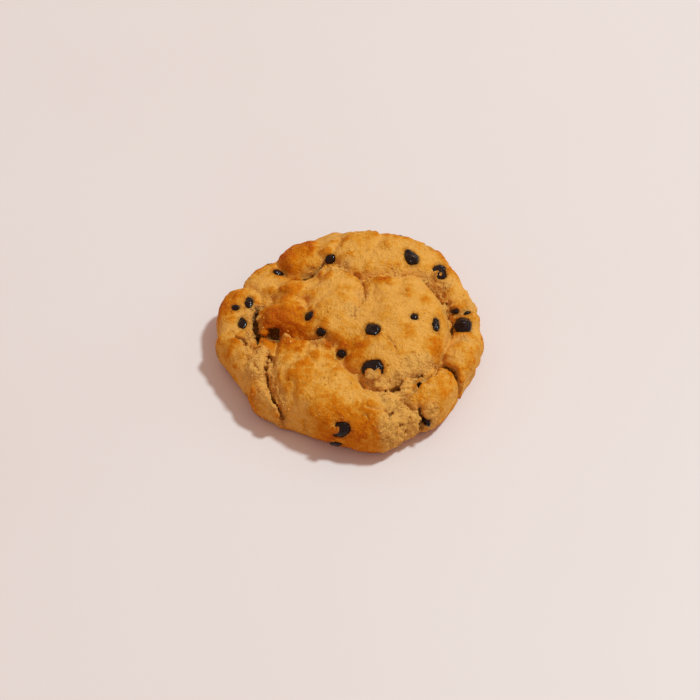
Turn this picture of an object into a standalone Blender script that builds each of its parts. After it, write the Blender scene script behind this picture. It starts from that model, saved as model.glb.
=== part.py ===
"""A thick chocolate chip cookie: a lump of folded, cracked dough with chocolate chips set in it.

The dough is a squat core with rounded folds pressed against it. Each fold is a squared-off ellipsoid that
melts softly into what lies beside it, the valleys and cracks follow paths seen from above, and a rim line
holds the whole to its outline. The sum of these is one value for every point of space, below zero inside the
dough, and the dough's skin is drawn where that value is zero. Sizes here are in millimetres, and the solids
are made in metres.
"""

import math
from collections import namedtuple

import bmesh
import bpy
import numpy as np
from mathutils import Matrix, Vector

MM = 0.001

Lobe = namedtuple("Lobe", "x y z long wide tall turn square blend")
Valley = namedtuple("Valley", "width depth path")
Crack = namedtuple("Crack", "half_width depth path")
Hole = namedtuple("Hole", "x y z radius")
Chip = namedtuple("Chip", "x y z size stretch pose turn proud")

# Seen from above, how far the outline reaches from the middle, by angle in degrees from +X.
RIM = (
    (0, 52), (22, 49.5), (38, 50.5), (56, 56.4), (70, 58), (84, 54.8), (95, 57.4), (106, 54.8), (122, 50.6),
    (140, 49.2), (155, 52.4), (178, 50), (192, 45.6), (205, 43), (218, 43.7), (230, 42), (248, 41),
    (264, 44.4),
    (275, 47), (286, 48.4), (297, 45), (314, 46.8), (336, 46.2), (347, 46.6),
)
RIM_ROUNDING = 3.0
BASE_TUCK = 3.5
BASE_TUCK_HEIGHT = 8.0

# The core under the folds.
CORE_MIDDLE = 8.5
CORE_TALL = 10.8
CORE_SQUARE = 2.4
CORE_INSET = 1.5

# Folds of dough: middle, half sizes, turn about the vertical in degrees, squareness, softness of the join.
LOBES = {
    "main_right": Lobe(17.5, -1, 11, 28.5, 22.5, 14.3, 78, 2.4, 1.5),
    "main_left": Lobe(-5, 9, 11, 22.5, 13.5, 13.8, 84, 2.4, 4.0),
    "back_band": Lobe(9, 32, 10, 27, 19.5, 13.4, -8, 2.6, 3.0),
    "back_knob": Lobe(-16, 36.5, 11, 11.5, 10, 9.3, 20, 2.4, 1.0),
    "back_left": Lobe(-28, 26, 7.5, 16, 13, 7.8, 40, 2.6, 1.5),
    "far_left": Lobe(-39, 14, 8, 12, 11, 8.6, 80, 2.5, 1.5),
    "left_low": Lobe(-36, -4, 7.5, 17, 11.5, 9, 100, 2.6, 2.5),
    "left_knob": Lobe(-23, 6, 14.5, 10.5, 8.5, 8.8, 8, 2.3, 0.8),
    "left_shoulder": Lobe(-20.5, 16.5, 12.5, 9.5, 8.5, 9, 20, 2.3, 1.5),
    "left_front": Lobe(-30.5, -12, 9, 10.5, 7, 10, 70, 2.4, 1.2),
    "front_left": Lobe(-17, -15, 9, 14.5, 13, 12, -60, 2.4, 1.2),
    "front_mid": Lobe(-7, -25, 9, 18, 15, 12, -45, 2.4, 4.0),
    "front_right": Lobe(9, -32, 8.5, 19, 13.5, 10.8, -12, 2.5, 3.0),
    "front_corner": Lobe(28, -25, 8.5, 14.5, 12, 10.4, 50, 2.5, 1.2),
    "right_lobe": Lobe(39.5, -10, 8.5, 14.5, 10.5, 9.4, 78, 2.6, 1.2),
    "right_upper": Lobe(38.5, 14, 8.5, 15, 11, 9, 100, 2.6, 1.0),
    "back_right": Lobe(33.5, 31, 8.5, 13.5, 11.5, 9.9, -50, 2.6, 1.5),
    "left_skirt": Lobe(-22, -27, 6.5, 18, 10.5, 8.3, -48, 2.4, 1.2),
}

# Soft valleys between folds: reach to each side, depth, and path seen from above.
VALLEYS = {
    "right_of_domes": Valley(4.8, 3.2, (
        (22, 25.8), (27.1, 25.4), (30.5, 22.9), (33.3, 19.5), (35.7, 12.6), (37.2, 5.9), (37.3, -0.5),
        (35.7, -7),
        (32.8, -13.8), (31, -17),
    )),
    "behind_domes": Valley(4.2, 2.4, (
        (-9, 32), (-5.5, 31.9), (0.1, 26), (5.6, 23), (10.4, 23.5), (19.4, 24.8), (24.3, 25.4), (29, 25),
    )),
    "between_domes": Valley(4.5, 1.6, ((6, 25), (5.6, 22.2), (4.9, 18), (4.2, 10.8), (2.1, 5.6), (0, 0))),
    "under_left_knob": Valley(3.2, 3.6, (
        (-36, 5), (-31.8, -0.7), (-28.3, -3.5), (-25.6, -1.6), (-22.2, -1), (-17.5, -3.2), (-14.7, -3.5),
        (-8.6, -5.4), (-3, -9),
    )),
    "left_of_knob": Valley(3.4, 2.8, (
        (-21, 14.5), (-24.6, 15.3), (-28.8, 16.1), (-32.8, 12.3), (-34.1, 7.5), (-34.3, 1.9), (-33, -4),
        (-31, -8),
    )),
    "before_domes": Valley(3.8, 2.4, (
        (-9, -4), (-5.9, -7.6), (-4.6, -12.1), (-1.2, -17.4), (3.4, -22.3), (6, -26.4), (10.6, -27.8),
        (15.3, -27.2), (20, -25),
    )),
    "under_ledge": Valley(4.0, 2.2, (
        (13, -28), (19.9, -25.3), (23.3, -23.2), (28, -19.3), (32.1, -14.8), (35, -11),
    )),
    "above_skirt": Valley(4.2, 2.6, (
        (-28, -4), (-29.5, -12.2), (-30.4, -17.8), (-29, -21), (-25.4, -29.1), (-23.1, -32.7), (-19.1, -36.8),
        (-15.2, -40), (-13, -45),
    )),
    "under_back_knob": Valley(3.6, 3.0, (
        (-28, 36), (-25.1, 32.7), (-23.6, 28.3), (-20, 25.5), (-15.9, 28), (-12.4, 29.2), (-9.6, 32.1),
        (-3, 31),
    )),
    "right_of_back_knob": Valley(3.2, 1.6, ((-7, 30), (-5.5, 37.3), (-3.4, 41.5), (-3, 48))),
    "right_notch": Valley(2.6, 1.8, ((34, 9.4), (40.5, 9.3), (44.7, 11.7), (52, 13))),
    "right_fold": Valley(2.8, 1.4, ((35, -6), (40.7, -2), (44.1, -2.5), (52, -4))),
    "front_left_split": Valley(2.6, 1.6, ((-25, -1), (-25.6, -3.8), (-26.8, -9), (-27.3, -14.2), (-29, -18))),
    "front_top": Valley(3.2, 1.3, ((-14.7, -3), (-14.7, -5.2), (-16, -11.1), (-13.2, -16.7), (-10, -20))),
    "front_corner": Valley(3.2, 1.3, ((13, -25), (18.5, -30.8), (21.8, -34.6), (25.1, -36.6), (29, -42))),
    "left_upper": Valley(2.8, 1.4, ((-46, 30), (-39.6, 25.5), (-36, 23), (-33.1, 19.4), (-32, 13))),
}

# Cracks and crevices: half width at the skin, depth, and path seen from above. They close up near the base.
CRACK_RISE = 6
CRACK_CLOSED = 0.3
CRACK_EDGE = 0.5
CRACKS = (
    Crack(0.9, 3.2, ((-9, 29.5), (-4, 29.5), (-2, 26.5), (0.5, 24.6), (3.5, 23.8), (5.5, 20.5), (6, 15))),
    Crack(0.7, 1.8, ((5.5, 20.5), (10, 22), (15, 22.6), (20, 24), (26, 27))),
    Crack(1.1, 4.5, ((-29, -9), (-30, -17), (-29, -23), (-26.5, -29), (-23, -34), (-18, -39), (-15, -44))),
    Crack(1.0, 3.5, ((15, -33), (19.6, -31), (24.4, -27), (30.6, -21), (33, -15))),
    Crack(1.0, 3.2, ((33.6, -14), (38, -18.5), (39.9, -21), (41, -27))),
    Crack(1.0, 3.5, ((23.5, -33), (26, -36), (28, -40), (30, -44))),
    Crack(1.0, 3.5, ((-35, 14), (-34.5, 8), (-34, 2), (-32.5, -4))),
    Crack(1.0, 4.0, ((-24, 26), (-19, 26.5), (-14, 27.5), (-8, 31))),
)

# Deep holes where folds don't quite meet.
HOLES = (
    Hole(-27.5, 0.6, 17, 2.3),
    Hole(-33.5, -1, 14, 2.0),
    Hole(-17, -4, 18.5, 1.8),
    Hole(36.5, 14, 16, 1.8),
)

HOLE_EDGE = 0.6

# The dough is uneven at two scales: bump width, height and seed.
UNEVENNESS = ((9.0, 0.55, 11), (4.5, 0.28, 12))
LATTICE = 32

# Chocolate chips: where each shows, its radius, its stretch, how it lies, its turn and how proud it stands.
TIP_OUT, BASE_OUT = 0, 180
CHIPS = (
    Chip(23.4, 32.2, 22.2, 2.95, 1.45, BASE_OUT, 105, 1.1),
    Chip(34.0, 28.5, 18.1, 3.2, 1.2, BASE_OUT, 80, 0.9),
    Chip(39.5, 10.5, 16.4, 1.3, 1.1, BASE_OUT, 0, 0.5),
    Chip(41.9, 3.9, 15.8, 3.7, 1.0, TIP_OUT, 0, 2.7),
    Chip(23.7, 0.8, 25.0, 1.6, 1.05, BASE_OUT, 30, 0.5),
    Chip(8.5, -5.1, 24.8, 2.9, 1.15, BASE_OUT, 150, 1.0),
    Chip(31.8, -1.2, 23.0, 1.6, 2.0, BASE_OUT, 88, 0.45),
    Chip(-14.8, 4.1, 21.7, 1.9, 1.1, BASE_OUT, 10, 0.4),
    Chip(8.6, -20.5, 21.7, 3.8, 1.1, BASE_OUT, 0, 0.7),
    Chip(-2.9, -11.8, 19.0, 1.6, 1.2, BASE_OUT, 0, 0.5),
    Chip(-10.3, -3.7, 21.4, 1.8, 1.25, BASE_OUT, 0, 0.6),
    Chip(-37.1, 14.7, 16.6, 1.75, 1.7, BASE_OUT, 85, 0.6),
    Chip(-42.1, 12.4, 16.4, 1.3, 1.25, BASE_OUT, 170, 0.5),
    Chip(-39.3, 4.7, 16.4, 1.65, 1.85, BASE_OUT, 100, 0.6),
    Chip(-26.6, 30.5, 15.8, 1.8, 1.25, BASE_OUT, 0, 0.6),
    Chip(-6.9, 33.4, 19.9, 1.8, 1.4, BASE_OUT, 10, 0.7),
    Chip(-3.0, -42.1, 13.4, 3.1, 1.2, BASE_OUT, 20, 0.6),
    Chip(27.5, -36.0, 10.4, 1.8, 1.2, BASE_OUT, 0, 0.5),
    Chip(-4.8, -43.4, 5.2, 1.8, 1.3, BASE_OUT, 0, 0.5),
    Chip(46, -12, 9, 2.9, 1.1, BASE_OUT, 0, 0.6),
    Chip(20.5, 49.5, 11.5, 3.3, 1.1, BASE_OUT, 0, 0.8),
    Chip(-30.3, 38.6, 9, 2.7, 1.2, BASE_OUT, 60, 0.8),
    Chip(-4, 52.5, 8, 2.5, 1.2, BASE_OUT, 30, 0.8),
    Chip(-48.5, -1, 8, 2.6, 1.1, BASE_OUT, 0, 0.6),
    Chip(48.5, 26, 9, 2.5, 1.2, BASE_OUT, 70, 0.9),
    Chip(-36, -22, 6, 2.4, 1.2, BASE_OUT, 20, 0.7),
    Chip(43.6, 9.6, 16.9, 1.2, 1.3, TIP_OUT, 20, 0.9),
    Chip(25.3, -25.0, 17.8, 1.6, 1.2, BASE_OUT, 20, 0.3),
)
# A softened chip, as shares of its radius: distance from its axis and height above its base.
CHIP_PROFILE = ((0.78, 0.0), (1.0, 0.22), (0.9, 0.55), (0.58, 0.9), (0.24, 1.15))
CHIP_TOP = 1.26
CHIP_SIDES = 10
CHIP_CENTRE = 0.5
SOCKET_GAP = 0.36

# A chip's place is found on the skin in this many strides, each this share of the way that seems left.
LANDING_STRIDES = 12
LANDING_SHARE = 0.8
SLOPE_REACH = 0.2
UPRIGHT = 0.8

# The skin is drawn on a grid of this step, then thinned to this many triangles.
GRID_STEP = 0.8
GRID_REACH = 60
GRID_TOP = 29
GRID_UNDER = 1.5
GRID_FILL = 0.1
DOUGH_TRIANGLES = 6300

# The underside is flat within a foot of this many corners, and stands this far clear of the table around it.
FOOT_CORNERS = 16
FOOT_RADIUS = 37
FOOT_SLOPE = 1.2
RIM_LIFT = 0.6
RIM_LIFT_DEPTH = 2
RIM_LIFT_REACH = 62
FLAT_WITHIN = 0.3

# The middle of the cookie's box, which becomes the origin.
MIDDLE_X = 0.26
MIDDLE_Y = 5.53

DOUGH_COLOUR = (0.62, 0.27, 0.055, 1)
CHOCOLATE_COLOUR = (0.03, 0.012, 0.008, 1)


def material(name, colour, roughness):
    """A Principled BSDF of one colour."""
    made = bpy.data.materials.new(name)
    made.use_nodes = True
    shader = made.node_tree.nodes["Principled BSDF"]
    shader.inputs["Base Color"].default_value = colour
    shader.inputs["Roughness"].default_value = roughness
    shader.inputs["Metallic"].default_value = 0
    return made


def smooth_min(a, b, softness):
    """The lesser of a and b, rounded where they meet."""
    share = np.clip(0.5 + 0.5 * (b - a) / softness, 0, 1)
    return b * (1 - share) + a * share - softness * share * (1 - share)


def smooth_max(a, b, softness):
    """The greater of a and b, rounded where they meet."""
    return -smooth_min(-a, -b, softness)


def rim_reach(angle):
    """How far the outline reaches at each angle: it eases from one of RIM's points to the next."""
    at = np.radians([degrees for degrees, _ in RIM])
    at = np.concatenate([at - 2 * np.pi, at, at + 2 * np.pi])
    reach = np.tile([reach for _, reach in RIM], 3)
    angle = np.mod(angle, 2 * np.pi)
    before = np.clip(np.searchsorted(at, angle) - 1, 0, len(at) - 2)
    share = (angle - at[before]) / (at[before + 1] - at[before])
    share = share * share * (3 - 2 * share)
    return reach[before] * (1 - share) + reach[before + 1] * share


def squared_ellipsoid(flat, flat_slope, rise, tall, square):
    """Distance from a squared-off ellipsoid. flat is the share of its half size reached seen from above."""
    lift = np.abs(rise) / tall
    size = (flat**square + lift**square) ** (1 / square) + 1e-6
    slope = np.hypot((flat / size) ** (square - 1) * flat_slope, (lift / size) ** (square - 1) / tall)
    return (size - 1) / (slope + 1e-6)


def lobe_distance(x, y, z, lobe):
    """Distance from one fold."""
    turn = math.radians(lobe.turn)
    along = (x - lobe.x) * math.cos(turn) + (y - lobe.y) * math.sin(turn)
    across = (y - lobe.y) * math.cos(turn) - (x - lobe.x) * math.sin(turn)
    flat = np.hypot(along / lobe.long, across / lobe.wide) + 1e-6
    slope = np.hypot(along / lobe.long**2, across / lobe.wide**2) / flat
    return squared_ellipsoid(flat, slope, z - lobe.z, lobe.tall, lobe.square)


def gap_to_path(x, y, path):
    """Distance seen from above to a path, and the share of the way along it."""
    gap = np.full(np.shape(x), 1e3)
    share = np.zeros(np.shape(x))
    legs = len(path) - 1
    for leg, ((ax, ay), (bx, by)) in enumerate(zip(path, path[1:])):
        dx, dy = bx - ax, by - ay
        on_leg = np.clip(((x - ax) * dx + (y - ay) * dy) / (dx * dx + dy * dy), 0, 1)
        away = np.hypot(x - ax - on_leg * dx, y - ay - on_leg * dy)
        share = np.where(away < gap, (leg + on_leg) / legs, share)
        gap = np.minimum(gap, away)
    return gap, share


def openness(share, z):
    """How far a crack or valley is open: it closes towards both its ends and towards the base."""
    return np.sqrt(np.clip(4 * share * (1 - share), 0, 1)) * np.clip(z / CRACK_RISE - CRACK_CLOSED, 0, 1)


def bumps(x, y, z, width, seed):
    """Smooth random bumps of about that width, from -1 to 1."""
    lattice = np.random.default_rng(seed).uniform(-1, 1, (LATTICE,) * 3)
    low, share = [], []
    for value in (x, y, z):
        scaled = value / width
        floor = np.floor(scaled)
        low.append(floor.astype(int))
        part = scaled - floor
        share.append(part * part * (3 - 2 * part))
    total = 0
    for i, j, k in np.ndindex(2, 2, 2):
        weight = np.abs(1 - i - share[0]) * np.abs(1 - j - share[1]) * np.abs(1 - k - share[2])
        corner = (low[0] + i) % LATTICE, (low[1] + j) % LATTICE, (low[2] + k) % LATTICE
        total = total + weight * lattice[corner]
    return total


def dough(x, y, z):
    """Below zero inside the dough, above zero outside, and close to a distance near the skin."""
    radius = np.hypot(x, y)
    reach = rim_reach(np.arctan2(y, x))
    inset = reach - CORE_INSET
    value = squared_ellipsoid(radius / inset + 1e-6, 1 / inset, z - CORE_MIDDLE, CORE_TALL, CORE_SQUARE)
    for lobe in LOBES.values():
        value = smooth_min(value, lobe_distance(x, y, z, lobe), lobe.blend)
    tuck = BASE_TUCK * np.clip(1 - z / BASE_TUCK_HEIGHT, 0, 1) ** 2
    value = smooth_max(value, radius - reach + tuck, RIM_ROUNDING)
    for width, height, seed in UNEVENNESS:
        value = value + height * bumps(x, y, z, width, seed)
    for valley in VALLEYS.values():
        gap, share = gap_to_path(x, y, valley.path)
        value = value + valley.depth * openness(share, z) * np.clip(1 - gap / valley.width, 0, 1) ** 2
    for crack in CRACKS:
        gap, share = gap_to_path(x, y, crack.path)
        groove = crack.half_width * (openness(share, z) + value / crack.depth) - gap
        value = smooth_max(value, groove, CRACK_EDGE)
    for hole in HOLES:
        away = np.sqrt((x - hole.x) ** 2 + (y - hole.y) ** 2 + (z - hole.z) ** 2)
        value = smooth_max(value, hole.radius - away, HOLE_EDGE)
    return np.maximum(value, -z)


def without_pinches(values, fill):
    """The same grid of values, filled in where its surface would touch itself along an edge or at a point."""
    values = values.copy()
    corners = [
        tuple(slice(i, i + n - 1) for i, n in zip(corner, values.shape)) for corner in np.ndindex(2, 2, 2)
    ]
    while True:
        inside = values < 0
        pinched = np.zeros(values.shape, bool)
        for axis in range(3):
            state, mark = np.moveaxis(inside, axis, 0), np.moveaxis(pinched, axis, 0)
            a, b = state[:, :-1, :-1], state[:, 1:, :-1]
            c, d = state[:, :-1, 1:], state[:, 1:, 1:]
            crosswise = (a == d) & (b == c) & (a != b)
            mark[:, :-1, :-1] |= crosswise
            mark[:, 1:, :-1] |= crosswise
            mark[:, :-1, 1:] |= crosswise
            mark[:, 1:, 1:] |= crosswise
        count = sum(inside[corner].astype(int) for corner in corners)
        for corner, opposite in zip(corners, reversed(corners)):
            lone_pair = (inside[corner] == inside[opposite]) & (count == np.where(inside[corner], 2, 6))
            for each in corners:
                pinched[each] |= lone_pair
        if not (pinched & ~inside).any():
            return values
        values[pinched & ~inside] = -fill


def without_hollows(values, fill):
    """The same grid of values, filled in wherever air is shut in and can't reach the edge of the grid."""
    air = values >= 0
    open_air = np.zeros(values.shape, bool)
    grown = open_air.copy()
    grown[0] = air[0]
    while (grown != open_air).any():
        open_air = grown.copy()
        for axis in range(3):
            start, spread = np.moveaxis(open_air, axis, 0), np.moveaxis(grown, axis, 0)
            spread[1:] |= start[:-1]
            spread[:-1] |= start[1:]
        grown &= air
    return np.where(air & ~open_air, -fill, values)


def skin(values, corner, step):
    """Points and four-sided faces of the surface where a grid of values changes sign, a point a cell."""
    inside = values < 0
    cells = [n - 1 for n in values.shape]
    count = np.zeros(cells, int)
    for i, j, k in np.ndindex(2, 2, 2):
        count += inside[i : i + cells[0], j : j + cells[1], k : k + cells[2]]
    crossed = (count > 0) & (count < 8)
    cell = np.argwhere(crossed)
    number = np.full(cells, -1)
    number[crossed] = np.arange(len(cell))
    total = np.zeros((len(cell), 3))
    hits = np.zeros(len(cell))
    faces = []
    for axis in range(3):
        along = np.eye(3, dtype=int)[axis]
        u, v = (axis + 1) % 3, (axis + 2) % 3
        for i, j in np.ndindex(2, 2):
            start = i * np.eye(3, dtype=int)[u] + j * np.eye(3, dtype=int)[v]
            low = values[tuple((cell + start).T)]
            high = values[tuple((cell + start + along).T)]
            cut = (low < 0) != (high < 0)
            share = np.where(cut, low / np.where(cut, low - high, 1), 0)
            total += np.where(cut[:, None], start + share[:, None] * along, 0)
            hits += cut
        first = np.take(inside, range(cells[axis]), axis)
        second = np.take(inside, range(1, cells[axis] + 1), axis)
        edge = np.argwhere(first != second)
        edge = edge[(edge[:, u] > 0) & (edge[:, v] > 0) & (edge[:, u] < cells[u]) & (edge[:, v] < cells[v])]
        back_u, back_v = np.eye(3, dtype=int)[u], np.eye(3, dtype=int)[v]
        ring = [edge - back_u - back_v, edge - back_v, edge, edge - back_u]
        quad = np.stack([number[tuple(c.T)] for c in ring], 1)
        outward = first[tuple(edge.T)]
        faces.append(np.where(outward[:, None], quad, quad[:, ::-1]))
    points = np.array(corner) + step * (cell + total / hits[:, None])
    return points, np.concatenate(faces)


def real_place():
    """From millimetres about the middle of the folds to metres about the middle of the cookie's box."""
    return Matrix.Scale(MM, 4) @ Matrix.Translation((-MIDDLE_X, -MIDDLE_Y, 0))


def dough_mesh():
    """The dough's skin as a mesh in metres."""
    corner = np.array([-GRID_REACH, -GRID_REACH, -GRID_UNDER * GRID_STEP])
    count = np.array([2 * GRID_REACH, 2 * GRID_REACH, GRID_TOP]) / GRID_STEP
    axes = [corner[i] + GRID_STEP * np.arange(int(count[i]) + 1) for i in range(3)]
    values = dough(*np.meshgrid(*axes, indexing="ij"))
    fill = GRID_FILL * GRID_STEP
    values = without_hollows(without_pinches(values, fill), fill)
    points, faces = skin(values, corner, GRID_STEP)
    mesh = bpy.data.meshes.new("dough")
    mesh.from_pydata(points.tolist(), [], faces.tolist())
    mesh.transform(real_place())
    return mesh


def thinned(obj, triangles):
    """Thins a mesh to about that many triangles with a Decimate modifier, and applies it."""
    thin = obj.modifiers.new("thin", "DECIMATE")
    thin.ratio = triangles / (2 * len(obj.data.polygons))
    thin.use_collapse_triangulate = True
    graph = bpy.context.evaluated_depsgraph_get()
    mesh = bpy.data.meshes.new_from_object(obj.evaluated_get(graph))
    obj.modifiers.remove(thin)
    obj.data = mesh


def level(obj):
    """Makes the underside exactly flat, and one face."""
    bm = bmesh.new()
    bm.from_mesh(obj.data)
    for vert in bm.verts:
        if vert.co.z < FLAT_WITHIN * MM:
            vert.co.z = 0
    flat = [face for face in bm.faces if all(vert.co.z == 0 for vert in face.verts)]
    bmesh.ops.dissolve_faces(bm, faces=flat, use_verts=True)
    bm.to_mesh(obj.data)
    bm.free()


def landing(x, y, z):
    """The point of the skin nearest to a rough place, and the way out of the dough there."""
    point = np.array([x, y, z], float)
    for _ in range(LANDING_STRIDES):
        sides = SLOPE_REACH * np.eye(3)
        way = np.array([float(dough(*(point + side)) - dough(*(point - side))) for side in sides])
        way /= np.linalg.norm(way)
        point = point - way * float(dough(*point)) * LANDING_SHARE
    return Vector(point), Vector(way)


def chip_mesh(chip, grow):
    """A softened chocolate chip turned about its axis, in millimetres, its middle at the origin."""
    bm = bmesh.new()
    rings = []
    for share, height in CHIP_PROFILE:
        ring = []
        for side in range(CHIP_SIDES):
            angle = 2 * math.pi * (side + 0.5 * (len(rings) % 2)) / CHIP_SIDES
            place = Vector((share * math.cos(angle), share * math.sin(angle), height - CHIP_CENTRE))
            ring.append(bm.verts.new(place * chip.size))
        rings.append(ring)
    bottom = bm.verts.new((0, 0, -CHIP_CENTRE * chip.size))
    top = bm.verts.new((0, 0, (CHIP_TOP - CHIP_CENTRE) * chip.size))
    for side in range(CHIP_SIDES):
        after = (side + 1) % CHIP_SIDES
        bm.faces.new((bottom, rings[0][after], rings[0][side]))
        bm.faces.new((top, rings[-1][side], rings[-1][after]))
        for low, high in zip(rings, rings[1:]):
            bm.faces.new((low[side], low[after], high[after], high[side]))
    bmesh.ops.recalc_face_normals(bm, faces=bm.faces)
    bm.normal_update()
    places = [v.co + v.normal * grow for v in bm.verts]
    for v, place in zip(bm.verts, places):
        v.co = place
    bmesh.ops.triangulate(bm, faces=bm.faces)
    mesh = bpy.data.meshes.new("chip")
    bm.to_mesh(mesh)
    bm.free()
    return mesh


def chip_place(chip):
    """Where a chip's middle goes and which way it faces, as a matrix in metres."""
    point, out = landing(chip.x, chip.y, chip.z)
    reach = {TIP_OUT: CHIP_TOP - CHIP_CENTRE, BASE_OUT: CHIP_CENTRE}[chip.pose] * chip.size
    middle = point - out * (reach - chip.proud)
    across = Vector((1, 0, 0)) if abs(out.x) < UPRIGHT else Vector((0, 1, 0))
    across = (across - out * across.dot(out)).normalized()
    upright = Matrix((across, out.cross(across), out)).transposed().to_4x4()
    turn = Matrix.Rotation(math.radians(chip.turn), 4, "Z")
    lie = Matrix.Rotation(math.radians(chip.pose), 4, "Y")
    stretch = Matrix.Diagonal((chip.stretch, 1, 1, 1))
    return real_place() @ Matrix.Translation(middle) @ upright @ turn @ lie @ stretch


def add(name, mesh, finish):
    """An object with its mesh, finish and smooth shading."""
    obj = bpy.data.objects.new(name, mesh)
    bpy.context.scene.collection.objects.link(obj)
    mesh.materials.clear()
    mesh.materials.append(finish)
    mesh.shade_smooth()
    return obj


def add_cutter(cutters, name, mesh):
    """A hidden object that is cut out of the dough."""
    cutter = bpy.data.objects.new(name, mesh)
    cutter.hide_render = True
    cutter.display_type = "WIRE"
    cutters.objects.link(cutter)


def add_chips(finish, cutters):
    """The chips, and the cutters for the sockets that they lie in."""
    for number, chip in enumerate(CHIPS, 1):
        place = chip_place(chip)
        solid = chip_mesh(chip, 0)
        solid.transform(place)
        add(f"chip_{number:02d}", solid, finish)
        socket = chip_mesh(chip, SOCKET_GAP)
        socket.transform(place)
        add_cutter(cutters, f"socket_{number:02d}", socket)


def rim_lift_mesh():
    """A flat ring around the foot: where it is cut away, the rim stands clear of the table."""
    slope = FOOT_SLOPE * RIM_LIFT_DEPTH / RIM_LIFT
    profile = (
        (FOOT_RADIUS - slope, -RIM_LIFT_DEPTH), (FOOT_RADIUS + FOOT_SLOPE, RIM_LIFT),
        (RIM_LIFT_REACH, RIM_LIFT), (RIM_LIFT_REACH, -RIM_LIFT_DEPTH),
    )
    bm = bmesh.new()
    rings = []
    for corner in range(FOOT_CORNERS):
        angle = 2 * math.pi * (corner + 0.5) / FOOT_CORNERS
        rings.append([bm.verts.new((r * math.cos(angle), r * math.sin(angle), z)) for r, z in profile])
    for ring, following in zip(rings, rings[1:] + rings[:1]):
        for side in range(len(profile)):
            after = (side + 1) % len(profile)
            bm.faces.new((ring[side], following[side], following[after], ring[after]))
    bmesh.ops.recalc_face_normals(bm, faces=bm.faces)
    mesh = bpy.data.meshes.new("rim_lift")
    bm.to_mesh(mesh)
    bm.free()
    mesh.transform(Matrix.Scale(MM, 4))
    return mesh


def main():
    for obj in list(bpy.data.objects):
        bpy.data.objects.remove(obj)
    dough_finish = material("baked_dough", DOUGH_COLOUR, 0.75)
    chocolate = material("chocolate", CHOCOLATE_COLOUR, 0.3)
    body = add("dough", dough_mesh(), dough_finish)
    thinned(body, DOUGH_TRIANGLES)
    level(body)
    cutters = bpy.data.collections.new("cutters")
    cutters.hide_render = True
    bpy.context.scene.collection.children.link(cutters)
    add_chips(chocolate, cutters)
    add_cutter(cutters, "rim_lift", rim_lift_mesh())
    cut = body.modifiers.new("cut", "BOOLEAN")
    cut.operation = "DIFFERENCE"
    cut.operand_type = "COLLECTION"
    cut.collection = cutters
    cut.solver = "EXACT"


main()
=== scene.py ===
"""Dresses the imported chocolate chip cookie: fine baked dough, chips, crumbs and sugar, on a plain stage.

The dough is one value for every point of space, below zero inside, drawn as a mesh where the value is zero.
It is worked out in millimetres about the middle of the folds, and its mesh is placed in metres about the
cookie's box.
"""

import math
from collections import namedtuple

import bmesh
import bpy
import numpy as np
from bpy.props import FloatProperty, FloatVectorProperty, IntProperty, PointerProperty
from bpy.types import Operator, Panel, PropertyGroup
from mathutils import Matrix, Vector


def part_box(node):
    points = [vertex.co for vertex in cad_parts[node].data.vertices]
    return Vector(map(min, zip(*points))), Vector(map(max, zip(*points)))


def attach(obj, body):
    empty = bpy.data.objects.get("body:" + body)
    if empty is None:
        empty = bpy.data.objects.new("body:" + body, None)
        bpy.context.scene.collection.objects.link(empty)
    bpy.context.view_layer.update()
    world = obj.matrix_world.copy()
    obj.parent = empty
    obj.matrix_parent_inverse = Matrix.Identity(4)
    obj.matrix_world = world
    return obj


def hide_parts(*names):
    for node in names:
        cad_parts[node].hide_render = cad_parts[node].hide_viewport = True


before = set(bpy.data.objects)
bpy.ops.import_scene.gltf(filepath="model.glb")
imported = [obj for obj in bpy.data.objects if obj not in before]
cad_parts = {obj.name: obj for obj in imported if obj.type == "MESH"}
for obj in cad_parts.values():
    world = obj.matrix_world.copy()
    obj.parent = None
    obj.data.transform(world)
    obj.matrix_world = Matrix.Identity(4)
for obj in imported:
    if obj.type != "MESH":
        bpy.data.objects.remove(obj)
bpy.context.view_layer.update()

bl_info = {
    "name": "Chocolate Chip Cookie",
    "version": (1, 0, 0),
    "blender": (4, 5, 0),
    "location": "3D View > Sidebar > Cookie",
    "description": "Builds a thick chocolate chip cookie with its crumbs and sugar on a pale table",
    "category": "Object",
}

MM = 0.001
CM2_PER_M2 = 1e4
TINY = 1e-6
FAR = 1e3
ROOT = "root"

Lobe = namedtuple("Lobe", "x y z long wide tall turn square blend")
Valley = namedtuple("Valley", "width depth path")
Crack = namedtuple("Crack", "half_width depth path")
Hole = namedtuple("Hole", "x y z radius")
Chip = namedtuple("Chip", "x y z size stretch pose turn proud")
Spot = namedtuple("Spot", "x y radius amount")

# The middle of the cookie's box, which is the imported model's origin.
MIDDLE_X = 0.26
MIDDLE_Y = 5.53

# Seen from above, how far the outline reaches from the middle, by angle in degrees from +X.
RIM = (
    (0, 52), (22, 49.5), (38, 50.5), (56, 56.4), (70, 58), (84, 54.8), (95, 57.4), (106, 54.8), (122, 50.6),
    (140, 49.2), (155, 52.4), (178, 50), (192, 45.6), (205, 43), (218, 43.7), (230, 42), (248, 41),
    (264, 44.4), (275, 47), (286, 48.4), (297, 45), (314, 46.8), (336, 46.2), (347, 46.6),
)
RIM_ROUNDING = 3.0
BASE_TUCK = 3.5
BASE_TUCK_HEIGHT = 8.0

# The core under the folds.
CORE_MIDDLE = 8.5
CORE_TALL = 10.8
CORE_SQUARE = 2.4
CORE_INSET = 1.5

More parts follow.
